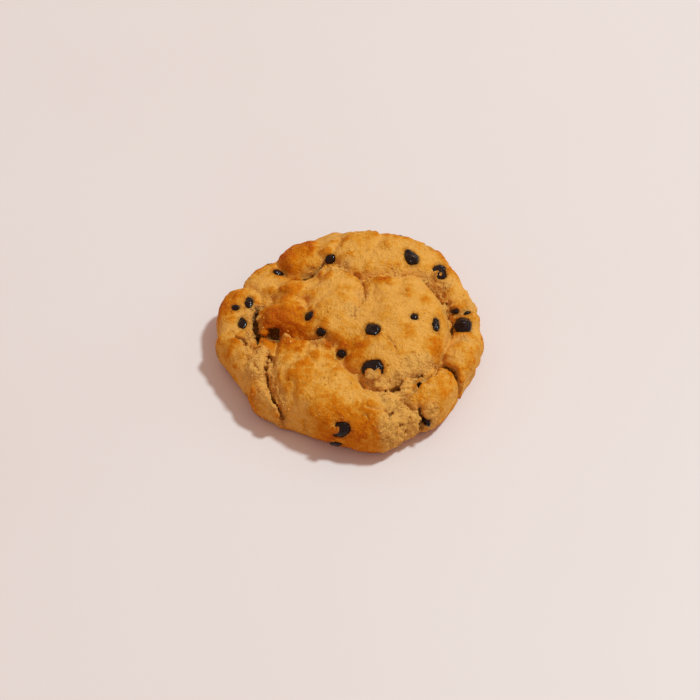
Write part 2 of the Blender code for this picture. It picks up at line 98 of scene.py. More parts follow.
# Folds of dough: middle, half sizes, turn about the vertical in degrees, squareness, softness of the join.
LOBES = {
    "main_right": Lobe(17.5, -1, 11, 28.5, 22.5, 14.3, 78, 2.4, 1.5),
    "main_left": Lobe(-5, 9, 11, 22.5, 13.5, 13.8, 84, 2.4, 4),
    "back_band": Lobe(9, 32, 10, 27, 19.5, 13.4, -8, 2.6, 3),
    "back_knob": Lobe(-16, 36.5, 11, 11.5, 10, 9.3, 20, 2.4, 1),
    "back_left": Lobe(-28, 26, 7.5, 16, 13, 7.8, 40, 2.6, 1.5),
    "far_left": Lobe(-39, 14, 8, 12, 11, 8.6, 80, 2.5, 1.5),
    "left_low": Lobe(-36, -4, 7.5, 17, 11.5, 9, 100, 2.6, 2.5),
    "left_knob": Lobe(-23, 6, 14.5, 10.5, 8.5, 8.8, 8, 2.3, 0.8),
    "left_shoulder": Lobe(-20.5, 16.5, 12.5, 9.5, 8.5, 9, 20, 2.3, 1.5),
    "left_front": Lobe(-30.5, -12, 9, 10.5, 7, 10, 70, 2.4, 1.2),
    "front_left": Lobe(-17, -15, 9, 14.5, 13, 12, -60, 2.4, 1.2),
    "front_mid": Lobe(-7, -25, 9, 18, 15, 12, -45, 2.4, 4),
    "front_right": Lobe(9, -32, 8.5, 19, 13.5, 10.8, -12, 2.5, 3),
    "front_corner": Lobe(28, -25, 8.5, 14.5, 12, 10.4, 50, 2.5, 1.2),
    "right_lobe": Lobe(39.5, -10, 8.5, 14.5, 10.5, 9.4, 78, 2.6, 1.2),
    "right_upper": Lobe(38.5, 14, 8.5, 15, 11, 9, 100, 2.6, 1),
    "back_right": Lobe(33.5, 31, 8.5, 13.5, 11.5, 9.9, -50, 2.6, 1.5),
    "left_skirt": Lobe(-22, -27, 6.5, 18, 10.5, 8.3, -48, 2.4, 1.2),
}

# Soft valleys between folds: reach to each side, depth, and path seen from above.
VALLEYS = {
    "right_of_domes": Valley(4.8, 3.2, (
        (22, 25.8), (27.1, 25.4), (30.5, 22.9), (33.3, 19.5), (35.7, 12.6), (37.2, 5.9), (37.3, -0.5),
        (35.7, -7), (32.8, -13.8), (31, -17),
    )),
    "behind_domes": Valley(4.2, 2.4, (
        (-9, 32), (-5.5, 31.9), (0.1, 26), (5.6, 23), (10.4, 23.5), (19.4, 24.8), (24.3, 25.4), (29, 25),
    )),
    "between_domes": Valley(4.5, 1.6, ((6, 25), (5.6, 22.2), (4.9, 18), (4.2, 10.8), (2.1, 5.6), (0, 0))),
    "under_left_knob": Valley(3.2, 3.6, (
        (-36, 5), (-31.8, -0.7), (-28.3, -3.5), (-25.6, -1.6), (-22.2, -1), (-17.5, -3.2), (-14.7, -3.5),
        (-8.6, -5.4), (-3, -9),
    )),
    "left_of_knob": Valley(3.4, 2.8, (
        (-21, 14.5), (-24.6, 15.3), (-28.8, 16.1), (-32.8, 12.3), (-34.1, 7.5), (-34.3, 1.9), (-33, -4),
        (-31, -8),
    )),
    "before_domes": Valley(3.8, 2.4, (
        (-9, -4), (-5.9, -7.6), (-4.6, -12.1), (-1.2, -17.4), (3.4, -22.3), (6, -26.4), (10.6, -27.8),
        (15.3, -27.2), (20, -25),
    )),
    "under_ledge": Valley(4, 2.2, (
        (13, -28), (19.9, -25.3), (23.3, -23.2), (28, -19.3), (32.1, -14.8), (35, -11),
    )),
    "above_skirt": Valley(4.2, 2.6, (
        (-28, -4), (-29.5, -12.2), (-30.4, -17.8), (-29, -21), (-25.4, -29.1), (-23.1, -32.7), (-19.1, -36.8),
        (-15.2, -40), (-13, -45),
    )),
    "under_back_knob": Valley(3.6, 3, (
        (-28, 36), (-25.1, 32.7), (-23.6, 28.3), (-20, 25.5), (-15.9, 28), (-12.4, 29.2), (-9.6, 32.1),
        (-3, 31),
    )),
    "right_of_back_knob": Valley(3.2, 1.6, ((-7, 30), (-5.5, 37.3), (-3.4, 41.5), (-3, 48))),
    "right_notch": Valley(2.6, 1.8, ((34, 9.4), (40.5, 9.3), (44.7, 11.7), (52, 13))),
    "right_fold": Valley(2.8, 1.4, ((35, -6), (40.7, -2), (44.1, -2.5), (52, -4))),
    "front_left_split": Valley(2.6, 1.6, (
        (-25, -1), (-25.6, -3.8), (-26.8, -9), (-27.3, -14.2), (-29, -18),
    )),
    "front_top": Valley(3.2, 1.3, ((-14.7, -3), (-14.7, -5.2), (-16, -11.1), (-13.2, -16.7), (-10, -20))),
    "front_corner": Valley(3.2, 1.3, ((13, -25), (18.5, -30.8), (21.8, -34.6), (25.1, -36.6), (29, -42))),
    "left_upper": Valley(2.8, 1.4, ((-46, 30), (-39.6, 25.5), (-36, 23), (-33.1, 19.4), (-32, 13))),
}

# Cracks and crevices: half width at the skin, depth, and path seen from above. They close up near the base.
CRACK_RISE = 6
CRACK_CLOSED = 0.3
CRACK_EDGE = 0.5
# A crack is worked out within this many half widths of its path, and this much more.
CRACK_NEAR = 4
CRACK_MARGIN = 1
CRACKS = [Crack(*crack) for crack in (
    (0.9, 3.2, ((-9, 29.5), (-4, 29.5), (-2, 26.5), (0.5, 24.6), (3.5, 23.8), (5.5, 20.5), (6, 15))),
    (0.7, 1.8, ((5.5, 20.5), (10, 22), (15, 22.6), (20, 24), (26, 27))),
    (1.1, 4.5, ((-29, -9), (-30, -17), (-29, -23), (-26.5, -29), (-23, -34), (-18, -39), (-15, -44))),
    (1, 3.5, ((15, -33), (19.6, -31), (24.4, -27), (30.6, -21), (33, -15))),
    (1, 3.2, ((33.6, -14), (38, -18.5), (39.9, -21), (41, -27))),
    (1, 3.5, ((23.5, -33), (26, -36), (28, -40), (30, -44))),
    (1, 3.5, ((-35, 14), (-34.5, 8), (-34, 2), (-32.5, -4))),
    (1, 4, ((-24, 26), (-19, 26.5), (-14, 27.5), (-8, 31))),
)]

# Fine fissures in the crust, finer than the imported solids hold.
FISSURES = [Crack(*crack) for crack in (
    (1.4, 4.4, ((-34.5, 2.5), (-31.8, -0.9), (-28.3, -3.7), (-25.6, -1.8), (-22.2, -1.2), (-19.5, -2.4))),
    (1.5, 4.4, ((-23, 26), (-19, 25.6), (-15.9, 28), (-12.4, 29.4), (-9.6, 32.1), (-5.5, 32.6))),
    (1.6, 4.8, ((11, -28.5), (15.3, -27.4), (19.9, -25.6), (23.3, -23.6), (28, -19.7), (32.1, -15.2))),
    (0.6, 2.2, ((-21, -1.8), (-17.5, -3.4), (-14, -3.6), (-9.5, -5.4), (-6, -8))),
    (0.5, 2, ((4, -23.5), (5.5, -26.5), (9, -27.8), (12.5, -26.8), (13.5, -24.5))),
    (0.5, 2, ((17.5, -31), (19.5, -33), (21.5, -33.4), (23.5, -35.5))),
    (0.5, 2, ((-15.4, -36), (-15.1, -38), (-15, -41))), (0.45, 1.5, ((6.1, -38.7), (7.3, -40.6))),
    (0.45, 1.5, ((8.9, -40.9), (9.6, -42.5), (10.5, -43.6))), (0.4, 1.5, ((14.5, -41.8), (15.3, -44))),
    (0.5, 2, ((24.5, -33.5), (25.3, -34.6), (25.8, -36))),
    (0.5, 1.6, ((6, 16), (5.5, 12), (3.5, 8), (1.5, 3.5))),
    (0.45, 1.8, ((-5.9, -6.9), (-6.6, -12.2), (-2.6, -16.6), (1.4, -19.1), (4.7, -22.5))),
    (0.4, 1.4, ((30.5, 22.9), (31.8, 20), (33.1, 17), (36, 13), (37, 10.4))),
    (0.4, 1.4, ((-45, 3), (-41, -2), (-38, -6), (-35, -9))), (0.4, 1.4, ((20, 46), (22, 49), (24, 52))),
    (0.4, 1.4, ((-30, 36), (-33, 39), (-35, 43))), (0.4, 1.4, ((44, 22), (47, 24), (50, 25))),
    (0.4, 1.4, ((2, 47), (1, 51), (2, 56))), (0.4, 1.3, ((28, 38), (31, 41), (35, 43))),
    (0.4, 1.3, ((-44, 20), (-46, 22), (-49, 23))),
    (0.9, 3, ((36, 12.5), (38, 9), (38.6, 5.5), (38.2, 1.5), (36.5, -2))),
    (0.5, 1.6, ((13, -8), (16, -11.5), (17.5, -15))), (0.45, 1.5, ((-36, -13), (-33.5, -16), (-32.5, -20))),
    (1.7, 4.2, ((-31, 14.5), (-34.4, 12.5), (-35.2, 8), (-34.8, 3), (-33.6, -1.5), (-33.5, -6))),
    (0.7, 2.2, ((-42, -1), (-38.5, -3.5), (-35.5, -7.5), (-31.5, -9))),
    (0.8, 2.6, ((26, 24.5), (29.5, 22.8), (32.5, 19.8), (35, 15.5))),
    (1.1, 3.6, ((-29, -24), (-25.5, -30), (-21.5, -35), (-17.5, -38.6), (-15.3, -40.8), (-13.5, -44))),
    (0.6, 1.8, ((4.5, -35.2), (8, -36.8), (11, -36.2), (14, -38), (17, -37.2))),
    (0.5, 1.6, ((12, -33), (15, -33.8), (18, -33.2), (21, -35))),
    (0.9, 3.2, ((31, -15.5), (34.5, -13.8), (37, -16.5), (39.5, -20.5), (40.5, -25))),
)]

# Deep holes where folds don't quite meet.
HOLES = [Hole(*hole) for hole in (
    (-27.5, 0.6, 17, 2.3), (-33.5, -1, 14, 2), (-17, -4, 18.5, 1.8), (36.5, 14, 16, 1.8),
)]
HOLE_EDGE = 0.6

# Smaller pockets in the crust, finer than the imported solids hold.
POCKETS = [Hole(*hole) for hole in (
    (-27, 0.6, 14.8, 2.4), (-28.8, -0.6, 15.5, 1.9), (-29, -12.6, 16.5, 1.3), (-27.6, -13.6, 16.8, 1.1),
    (-13, -15.6, 20, 1.1), (-14.2, -15, 20, 0.8), (38.5, 11.5, 15.5, 1.6), (18.1, -40.6, 14.6, 1.2),
    (21.6, -38.3, 15.6, 1.3), (15, -38.5, 17.2, 1.1), (18.5, -36, 17.6, 1), (19.9, -40.5, 10.2, 1.3),
    (16.4, -42.2, 10.2, 1.2), (24.8, -36.3, 8, 1.6), (12.5, -41.5, 13.5, 1), (35, 19, 16, 1.3),
    (-30.5, -16, 15.5, 1), (-29, -21, 13.5, 1.1), (-27.5, -24.5, 12.5, 1), (-33.5, -3.5, 14.5, 1.2),
)]

# The dough is uneven at these scales: bump width, height and seed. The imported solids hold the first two.
UNEVENNESS = ((9.0, 0.55, 11), (4.5, 0.28, 12))
FINE_UNEVENNESS = ((2.6, 0.29, 13), (1.3, 0.15, 14))
LATTICE = 32

# The crust puffs up between creases at these scales: width of a puff, height and seed.
PUFFS = ((7.5, 1.5, 41), (3.6, 0.75, 42))
PUFF_LEVEL = 0.33
# Where they do: patches of this width, and how far inside the outline.
PUFF_REGION = (16.0, 43)
PUFF_PATCH = (-0.3, 0.4)
PUFF_INSIDE = (1, 8)

# Small lumps that stand out of the folds: middle seen from above, radius and height.
LUMPS = [Spot(*spot) for spot in (
    (-30.5, -7.5, 3.2, 1.5), (-22.5, -7.5, 3.8, 1.8), (-17, -8.5, 3, 1.1), (-12.5, -13.5, 3, 1.3),
    (-26.5, -11, 2.5, 0.9), (-33, -11.5, 2.6, 1), (-20.5, 14.5, 3, 1.1), (-24, 13, 2.5, 0.9),
    (-29, 4, 2.2, 0.8), (-23.5, 6.5, 3.5, 1.1), (12, 18, 4, 0.8), (-2, 12, 4, 0.7), (-35, -25, 4, 1.2),
    (-26, -33, 3, 0.9), (38, 20, 3.5, 1), (44, 12, 3, 0.9), (41, -8, 4, 0.9), (30, -27, 4, 1),
    (36, -20, 3, 0.8), (-30, 20, 3, 0.9), (-41, 19, 3.5, 1.1), (-45, 7, 3.5, 0.9), (-42, -5, 3.5, 1.1),
    (-14, 40, 4, 0.9), (0, 40, 4, 0.8), (15, 38, 5, 0.8), (28, 42, 4, 0.9), (-19, -20, 3.5, 0.9),
    (-6, -22, 3.5, 0.8), (-12, -33, 3, 0.8), (7, -36, 3.5, 0.8), (24, -31, 3, 0.9), (-23.3, -3.8, 2, 1.8),
    (-31, -4.6, 2, 1.3), (-16.5, -5.2, 2, 0.9), (26, -22.5, 3, 0.8), (-48.5, -1.5, 4, 1.3),
    (46, -12.5, 4, 1.3), (25.3, -25, 2.4, 0.8), (-38, -10, 3, 1), (-34, -19, 2.6, 0.9),
    (-30, -26.5, 2.6, 0.9), (-40.5, -3.5, 2.5, 0.8), (-37, -16, 2.4, 0.7),
)]

# Crack edges wander by this much at each scale: bump width, reach and seed.
RAGGEDNESS = ((3.0, 0.7, 21), (1.3, 0.35, 23))

# Broken crust: how strongly crumbly places count and the heights they fade in between, then how strongly
# cracks count and the depths below the uncut skin that they fade in between.
CRUMBLY_GAIN = 1.3
CRUMBLY_RISE = (1, 4)
CRUMB_IN_CRACKS = 0.55
CRUMB_DEPTH = (0.45, 1.5)
# Its relief as shares of the crumb relief: bumps by width, height and seed, and clumps by width, height,
# share of the width where the gaps between them start, and seed. The gaps are deepest at CRUMB_GAP_FULL.
CRUMB_BUMPS = (1.6, 0.35, 33)
CRUMB_CLUMPS = ((2.6, 0.55, 0.6, 31), (1.3, 0.5, 0.55, 32))
CRUMB_GAP_FULL = 0.95
CRUMB_LEVEL = 0.25
# How far from the skin the relief is worked out.
CRUMB_REACH = 2.5

# Where the crust is broken open to crumb, and where it's toasted: middle seen from above, radius and amount.
CRUMBLY = [Spot(*spot) for spot in (
    (-28.6, -15.8, 3.5, 1), (-30.1, -19.3, 3.5, 1), (-27.2, -26, 3.2, 1), (-37, -8.5, 4, 0.5),
    (-36, -18, 4, 0.45), (-31.5, -26.5, 4, 0.45), (-35.5, 8.5, 3, 0.9), (-34.8, 2.5, 3, 0.9),
    (-36, 13, 2.5, 0.6), (-12, 28, 3, 0.7), (28.5, 24.5, 3, 0.8), (32.8, 19.5, 3, 0.8),
    (35.8, 13.5, 3, 0.8), (-25, -30.5, 3, 0.9), (-31.5, -11.5, 3, 0.9), (-33.5, -15.5, 3, 0.7),
    (23.3, -19.8, 4.5, 1), (28, -16.9, 3, 1), (17.9, -26, 4, 1), (8, -23.9, 2.5, 0.9), (19.7, -38, 5.5, 1),
    (14.5, -42.7, 4, 1), (23.1, -38.9, 3.5, 1), (4.9, 14, 3.2, 0.85), (1.4, 4.7, 3.8, 0.8),
    (17.3, 24.6, 4, 0.45), (-0.6, 29.1, 3, 0.7), (-10.7, -6.4, 3, 0.7), (36.8, 23.1, 3, 0.7),
    (42, -3, 3, 0.7), (-36.5, -2.9, 3, 0.6), (14.6, -31.8, 4.5, 0.8), (-5.4, 26.9, 2.5, 0.6),
    (29.9, -34.5, 3, 0.7), (12, -27, 3, 0.9), (-22.9, -4, 2.5, 0.6), (30, 46, 5, 0.8), (-40, 30, 4.5, 0.7),
    (47, 14, 4, 0.6),
)]
TOASTED = [Spot(*spot) for spot in (
    (-25.6, 3, 8, 1), (-18.8, 0.9, 6, 1), (-30.8, 12, 3.5, 0.7), (-22.5, 36.8, 6.5, 0.95),
    (-18.2, 42.5, 5.5, 0.9), (-16, 37.5, 4.5, 0.6), (-23.6, 31.9, 3, 0.6), (-46, 15, 6, 0.8),
    (-20.7, -9.9, 4.5, 0.6), (-15.8, -18.4, 4, 0.35), (-12.6, -14.8, 2.5, 0.5), (-15.5, -24.4, 5.5, 0.35),
    (-20.5, -23.1, 5, 0.42), (-5.1, -38.6, 6.5, 0.5), (-23.4, -4.6, 2.5, 0.5), (4.7, -43, 7, 0.7),
    (-9.1, -39.2, 5, 0.5), (1.4, -45.2, 5, 0.5), (-1.9, -10, 6, 0.8), (3.4, -12.4, 4, 0.7),
    (28, 10.3, 2.5, 0.7), (12.5, 20.4, 3, 0.6), (-22.5, 15, 4.5, 0.6), (-19.1, 18.6, 3.5, 0.5),
    (-11, 25.8, 4, 0.4), (-3.4, 41.5, 2.3, 0.6), (5, 40.5, 4.5, 0.4), (15.6, 46.6, 5, 0.4),
    (-33.6, -7.5, 3.5, 0.6), (-33.3, -24.9, 4.5, 0.6), (-43.8, -7.9, 4, 0.4), (43.6, -0.2, 3, 0.3),
    (28.4, -33, 3.5, 0.5), (33.2, -26.3, 3.5, 0.4), (30.1, -12.2, 3.5, 0.5), (21.5, -7.6, 4.5, 0.3),
    (32.2, -8, 3, 0.4), (36, 42, 6, 0.5), (-36, 34, 6, 0.5),
)]

# Chocolate chips: where each shows, its radius, its stretch, how it lies, its turn and how proud it stands.
TIP_OUT, BASE_OUT = 0, 180
CHIPS = [Chip(*chip) for chip in (
    (23.4, 32.2, 22.2, 2.95, 1.45, BASE_OUT, 105, 1.1),
    (34, 28.5, 18.1, 3.2, 1.2, BASE_OUT, 80, 0.9),
    (39.5, 10.5, 16.4, 1.3, 1.1, BASE_OUT, 0, 0.5),
    (41.9, 3.9, 15.8, 3.7, 1, TIP_OUT, 0, 2.7),
    (23.7, 0.8, 25, 1.6, 1.05, BASE_OUT, 30, 0.5),
    (8.5, -5.1, 24.8, 2.9, 1.15, BASE_OUT, 150, 1),
    (31.8, -1.2, 23, 1.6, 2, BASE_OUT, 88, 0.45),
    (-14.8, 4.1, 21.7, 1.9, 1.1, BASE_OUT, 10, 0.4),
    (8.6, -20.5, 21.7, 3.8, 1.1, BASE_OUT, 0, 0.7),
    (-2.9, -11.8, 19, 1.6, 1.2, BASE_OUT, 0, 0.5),
    (-10.3, -3.7, 21.4, 1.8, 1.25, BASE_OUT, 0, 0.6),
    (-37.1, 14.7, 16.6, 1.75, 1.7, BASE_OUT, 85, 0.6),
    (-42.1, 12.4, 16.4, 1.3, 1.25, BASE_OUT, 170, 0.5),
    (-39.3, 4.7, 16.4, 1.65, 1.85, BASE_OUT, 100, 0.6),
    (-26.6, 30.5, 15.8, 1.8, 1.25, BASE_OUT, 0, 0.6),
    (-6.9, 33.4, 19.9, 1.8, 1.4, BASE_OUT, 10, 0.7),
    (-3, -42.1, 13.4, 3.1, 1.2, BASE_OUT, 20, 0.6),
    (27.5, -36, 10.4, 1.8, 1.2, BASE_OUT, 0, 0.5),
    (-4.8, -43.4, 5.2, 1.8, 1.3, BASE_OUT, 0, 0.5),
    (46, -12, 9, 2.9, 1.1, BASE_OUT, 0, 0.6),
    (20.5, 49.5, 11.5, 3.3, 1.1, BASE_OUT, 0, 0.8),
    (-30.3, 38.6, 9, 2.7, 1.2, BASE_OUT, 60, 0.8),
    (-4, 52.5, 8, 2.5, 1.2, BASE_OUT, 30, 0.8),
    (-48.5, -1, 8, 2.6, 1.1, BASE_OUT, 0, 0.6),
    (48.5, 26, 9, 2.5, 1.2, BASE_OUT, 70, 0.9),
    (-36, -22, 6, 2.4, 1.2, BASE_OUT, 20, 0.7),
    (43.6, 9.6, 16.9, 1.2, 1.3, TIP_OUT, 20, 0.9),
    (25.3, -25, 17.8, 1.6, 1.2, BASE_OUT, 20, 0.3),
)]
# A chip is a squashed ball with a softer peak: heights and half sizes as shares of its radius.
CHIP_WIDE = 0.92
CHIP_BODY_HEIGHT = 0.46
CHIP_BODY_TALL = 0.48
CHIP_BODY_SQUARE = 2.3
CHIP_PEAK_HEIGHT = 0.72
CHIP_PEAK_WIDE = 0.5
CHIP_PEAK_TALL = 0.54
CHIP_TOP = 1.26
CHIP_CENTRE = 0.5
CHIP_BLEND = 0.35
CHIP_DENT_WIDTH = 0.75
CHIP_DENT = 0.17
CHIP_WRINKLES = ((0.9, 0.16), (0.45, 0.05))
CHIP_SEED = 100
CHIP_REACH = 1.4
# In millimetres: room around a chip when it is drawn, the spacing of the points its skin is drawn through,
# the room and the rounded lip of its socket, and how far its stain reaches.
CHIP_MARGIN = 1
CHIP_STEP = 0.22
CHIP_ROOM = 0.1
CHIP_LIP = 0.35
STAIN_REACH = 1.5

# A chip slides to the nearest place on the skin in a number of strides, each a share of the way left. The
# slope is felt this far to each side. A chip's turn is counted from X, or from Y where it faces further along
# X than UPRIGHT.
LANDING_STRIDES = 12
LANDING_SHARE = 0.8
SLOPE_REACH = 0.2
UPRIGHT = 0.8

# Ragged flaps of dough that lie over chips and along broken edges.
FLAPS = [Lobe(*lobe) for lobe in (
    (32.5, 26.9, 18.2, 2.5, 1.7, 1.3, 40, 2.2, 0.5),
    (8.6, -22.6, 21.1, 3, 2.7, 1.4, 20, 2.4, 0.5),
    (-4.9, -41.4, 13.5, 2.5, 1.8, 1.3, 30, 2.2, 0.5),
    (-31, 0.4, 16.9, 1.8, 1.3, 1.1, 60, 2.2, 0.4),
    (11.5, -26.4, 18.6, 3.2, 1.5, 1, -10, 2.2, 0.4),
    (21.5, -25.2, 18.6, 3.6, 1.4, 1, 32, 2.2, 0.4),
    (28.5, -20.3, 18.4, 2.6, 1.3, 0.9, 42, 2.2, 0.4),
    (41.6, 7.2, 16.6, 2.2, 1, 1, 20, 2.2, 0.4),
)]
# Their ragged edges: width, height, level and seed of clumps and of bumps, and the room they may take.
FLAP_CLUMPS = (1.7, 1.1, 0.5, 51)
FLAP_BUMPS = (1.0, 0.5, 0.0, 52)
FLAP_ROOM = 2

# The grid's values are worked out by blocks of this many points a side: within SKIN_REACH of the skin, and
# from CUT_DEPTH below it to CUT_RISE above it in the room around cracks, holes and chips.
BLOCK = 3
SKIN_REACH = 2.4
CUT_DEPTH = 8
CUT_RISE = 3
CRACK_ROOM = 2.5
HOLE_ROOM = 1.5
# In grid steps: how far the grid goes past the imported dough's box, and how deep a filled pinch lies inside.
GRID_ROOM = 2.5
GRID_FILL = 0.1

# The skin's points settle onto the dough's surface in strides of at most a share of the grid's spacing. The
# slope is felt this far ahead, and kept between two bounds. Points this near the table end up on it.
SETTLING_STRIDES = 2
SETTLING_SHARE = 0.3
SETTLING_REACH = 0.1
SETTLING_SLOPES = (0.4, 2.0)
FLAT_WITHIN = 0.15

# Toast near the base: its strength, its top and the height it fades over. Toast where the crust stands proud
# of a smoothed skin: rounds of smoothing, strength for each millimetre, least and most.
BASE_TOAST = 0.35
BASE_TOAST_TOP = 7
BASE_TOAST_RUN = 6
PROUD_TOAST = ((12, 0.9, -0.2, 0.3), (90, 0.4, -0.3, 0.35))
UNDERSIDE_TOAST = 0.75
# The greatest depth that the painted crevice shade tells apart, and the height above which loose crumbs
# cling.
DEEPEST = 9
LOOSE_CRUMB_HEIGHT = 2

# The underside is flat inside the foot and stands a little clear of the table around it. Its faces are joined
# into one, except within FOOT_EDGE of the foot's edge.
FOOT_RADIUS = 37
FOOT_EDGE = 1.5
RIM_LIFT = 0.6
RIM_LIFT_RUN = 3


def length(name, description, default, least, most):
    """A size in metres that the panel shows."""
    return FloatProperty(
        name=name, description=description, default=default, min=least, max=most, precision=5, unit="LENGTH",
    )


def amount(name, description, default, most):
    """A number for each square centimetre that the panel shows."""
    return FloatProperty(name=name, description=description, default=default, min=0.0, max=most)


def tint(name, description, default):
    """A colour that the panel shows."""
    return FloatVectorProperty(
        name=name, description=description, default=default, min=0.0, max=1.0, subtype="COLOR",
    )


class CookieSizes(PropertyGroup):
    """The sizes of the cookie's finer parts and of its stage."""

    grid_step: length(
        "Grid Step", "Spacing of the points that the dough's skin is drawn through", 0.00055, 0.0003, 0.002,
    )
    crumb_relief: length(
        "Crumb Relief", "Height of the clumps where the crust is broken open", 0.0013, 0.0, 0.003,
    )
    crumb_size: length(
        "Crumb Size", "Radius of the loose crumbs that cling to broken crust", 0.00034, 0.0001, 0.002,
    )
    crumbs_per_cm2: amount(
        "Crumbs per Square Centimetre", "How many crumbs cling to fully broken crust", 18.0, 300.0,
    )
    grain_size: length(
        "Sugar Grain Size", "Side of the sugar grains baked into the crust", 0.00024, 0.0001, 0.001,
    )
    grains_per_cm2: amount(
        "Sugar Grains per Square Centimetre", "How many sugar grains show in the crust", 2.5, 100.0,
    )
    seed: IntProperty(name="Seed", description="Picks where the crumbs and grains fall", default=5, min=0)
    camera_distance: length("Camera Distance", "From the camera to the cookie's middle", 0.7, 0.2, 5.0)
    camera_elevation: FloatProperty(
        name="Camera Elevation", description="Angle of the camera above the table",
        default=math.radians(50.6), subtype="ANGLE",
    )


class CookieColours(PropertyGroup):
    """The colours of the dough, the chocolate and the table."""

    golden: tint("Golden Crust", "The crust over most of the cookie", (0.79, 0.32, 0.028))
    pale: tint("Pale Crust", "The least baked crust, in hollows", (0.87, 0.415, 0.076))
    brown: tint("Browned Crust", "The toasted crust on raised places", (0.68, 0.178, 0.0))
    dark: tint("Dark Crust", "The most toasted crust", (0.48, 0.06, 0.0))
    crumb: tint("Crumb", "The dough inside, where the crust is broken", (0.82, 0.42, 0.095))
    chocolate: tint("Chocolate", "The chips", (0.012, 0.0034, 0.0022))
    table: tint("Table", "The plain surface under the cookie", (0.79, 0.69, 0.64))


def smooth_min(a, b, softness):
    """The lesser of a and b, rounded where they meet."""
    share = np.clip(0.5 + 0.5 * (b - a) / softness, 0, 1)
    return b * (1 - share) + a * share - softness * share * (1 - share)


def smooth_max(a, b, softness):
    """The greater of a and b, rounded where they meet."""
    return -smooth_min(-a, -b, softness)


def eased(value, low, high):
    """0 below low, 1 above high, and a smooth rise between."""
    share = np.clip((value - low) / (high - low), 0, 1)
    return share * share * (3 - 2 * share)


def rim_reach(angle):
    """How far the outline reaches at each angle: it eases from one of RIM's points to the next."""
    at = np.radians([degrees for degrees, _ in RIM])
    at = np.concatenate([at - 2 * np.pi, at, at + 2 * np.pi])
    reach = np.tile([reach for _, reach in RIM], 3)
    angle = np.mod(angle, 2 * np.pi)
    before = np.clip(np.searchsorted(at, angle) - 1, 0, len(at) - 2)
    share = eased(angle, at[before], at[before + 1])
    return reach[before] * (1 - share) + reach[before + 1] * share


def squared_ellipsoid(flat, flat_slope, rise, tall, square):
    """Distance from a squared-off ellipsoid. flat is the share of its half size reached seen from above."""
    lift = np.abs(rise) / tall
    size = (flat**square + lift**square) ** (1 / square) + TINY
    slope = np.hypot((flat / size) ** (square - 1) * flat_slope, (lift / size) ** (square - 1) / tall)
    return (size - 1) / (slope + TINY)


def lobe_distance(x, y, z, lobe):
    """Distance from one fold."""
    turn = math.radians(lobe.turn)
    along = (x - lobe.x) * math.cos(turn) + (y - lobe.y) * math.sin(turn)
    across = (y - lobe.y) * math.cos(turn) - (x - lobe.x) * math.sin(turn)
    flat = np.hypot(along / lobe.long, across / lobe.wide) + TINY
    slope = np.hypot(along / lobe.long**2, across / lobe.wide**2) / flat
    return squared_ellipsoid(flat, slope, z - lobe.z, lobe.tall, lobe.square)


def beside_path(x, y, path, margin):
    """Which points lie in the box around a path, widened by a margin."""
    xs, ys = zip(*path)
    return (x > min(xs) - margin) & (x < max(xs) + margin) & (y > min(ys) - margin) & (y < max(ys) + margin)


def gap_to_path(x, y, path):
    """Distance seen from above to a path, and the share of the way along it."""
    gap = np.full(np.shape(x), FAR)
    share = np.zeros(np.shape(x))
    legs = len(path) - 1
    for leg, ((ax, ay), (bx, by)) in enumerate(zip(path, path[1:])):
        dx, dy = bx - ax, by - ay
        on_leg = np.clip(((x - ax) * dx + (y - ay) * dy) / (dx * dx + dy * dy), 0, 1)
        away = np.hypot(x - ax - on_leg * dx, y - ay - on_leg * dy)
        share = np.where(away < gap, (leg + on_leg) / legs, share)
        gap = np.minimum(gap, away)
    return gap, share


def openness(share, z):
    """How far a crack or valley is open: it closes towards both its ends and towards the base."""
    return np.sqrt(np.clip(4 * share * (1 - share), 0, 1)) * np.clip(z / CRACK_RISE - CRACK_CLOSED, 0, 1)


def bumps(x, y, z, width, seed):
    """Smooth random bumps of about that width, from -1 to 1."""
    lattice = np.random.default_rng(seed).uniform(-1, 1, (LATTICE,) * 3)
    low, share = [], []
    for value in (x, y, z):
        scaled = value / width
        floor = np.floor(scaled)
        low.append(floor.astype(int))
        part = scaled - floor
        share.append(part * part * (3 - 2 * part))
    total = 0
    for corner in np.ndindex(2, 2, 2):
        weight = math.prod(np.abs(1 - corner[i] - share[i]) for i in range(3))
        total = total + weight * lattice[tuple((low[i] + corner[i]) % LATTICE for i in range(3))]
    return total


def clumps(x, y, z, width, seed):
    """Distance to the nearest of scattered points, in widths: 0 at a clump's middle, near 1 in the gaps."""
    scatter = np.random.default_rng(seed).uniform(0, 1, (LATTICE, LATTICE, LATTICE, 3))
    scaled = [x / width, y / width, z / width]
    cell = [np.floor(value).astype(int) for value in scaled]
    nearest = np.full(np.shape(x), FAR)
    for step in np.ndindex(3, 3, 3):
        there = [cell[i] + step[i] - 1 for i in range(3)]
        point = scatter[there[0] % LATTICE, there[1] % LATTICE, there[2] % LATTICE]
        away = sum((there[i] + point[..., i] - scaled[i]) ** 2 for i in range(3))
        nearest = np.minimum(nearest, away)
    return np.sqrt(nearest)


def felt(x, y, spot):
    """How much of a spot is felt at each place seen from above."""
    return spot.amount * np.exp(-((x - spot.x) ** 2 + (y - spot.y) ** 2) / spot.radius**2)


def spread(x, y, spots):
    """How much of some spots is felt together, from 0 to 1."""
    missing = np.ones(np.shape(x))
    for spot in spots:
        missing = missing * (1 - felt(x, y, spot))
    return 1 - missing


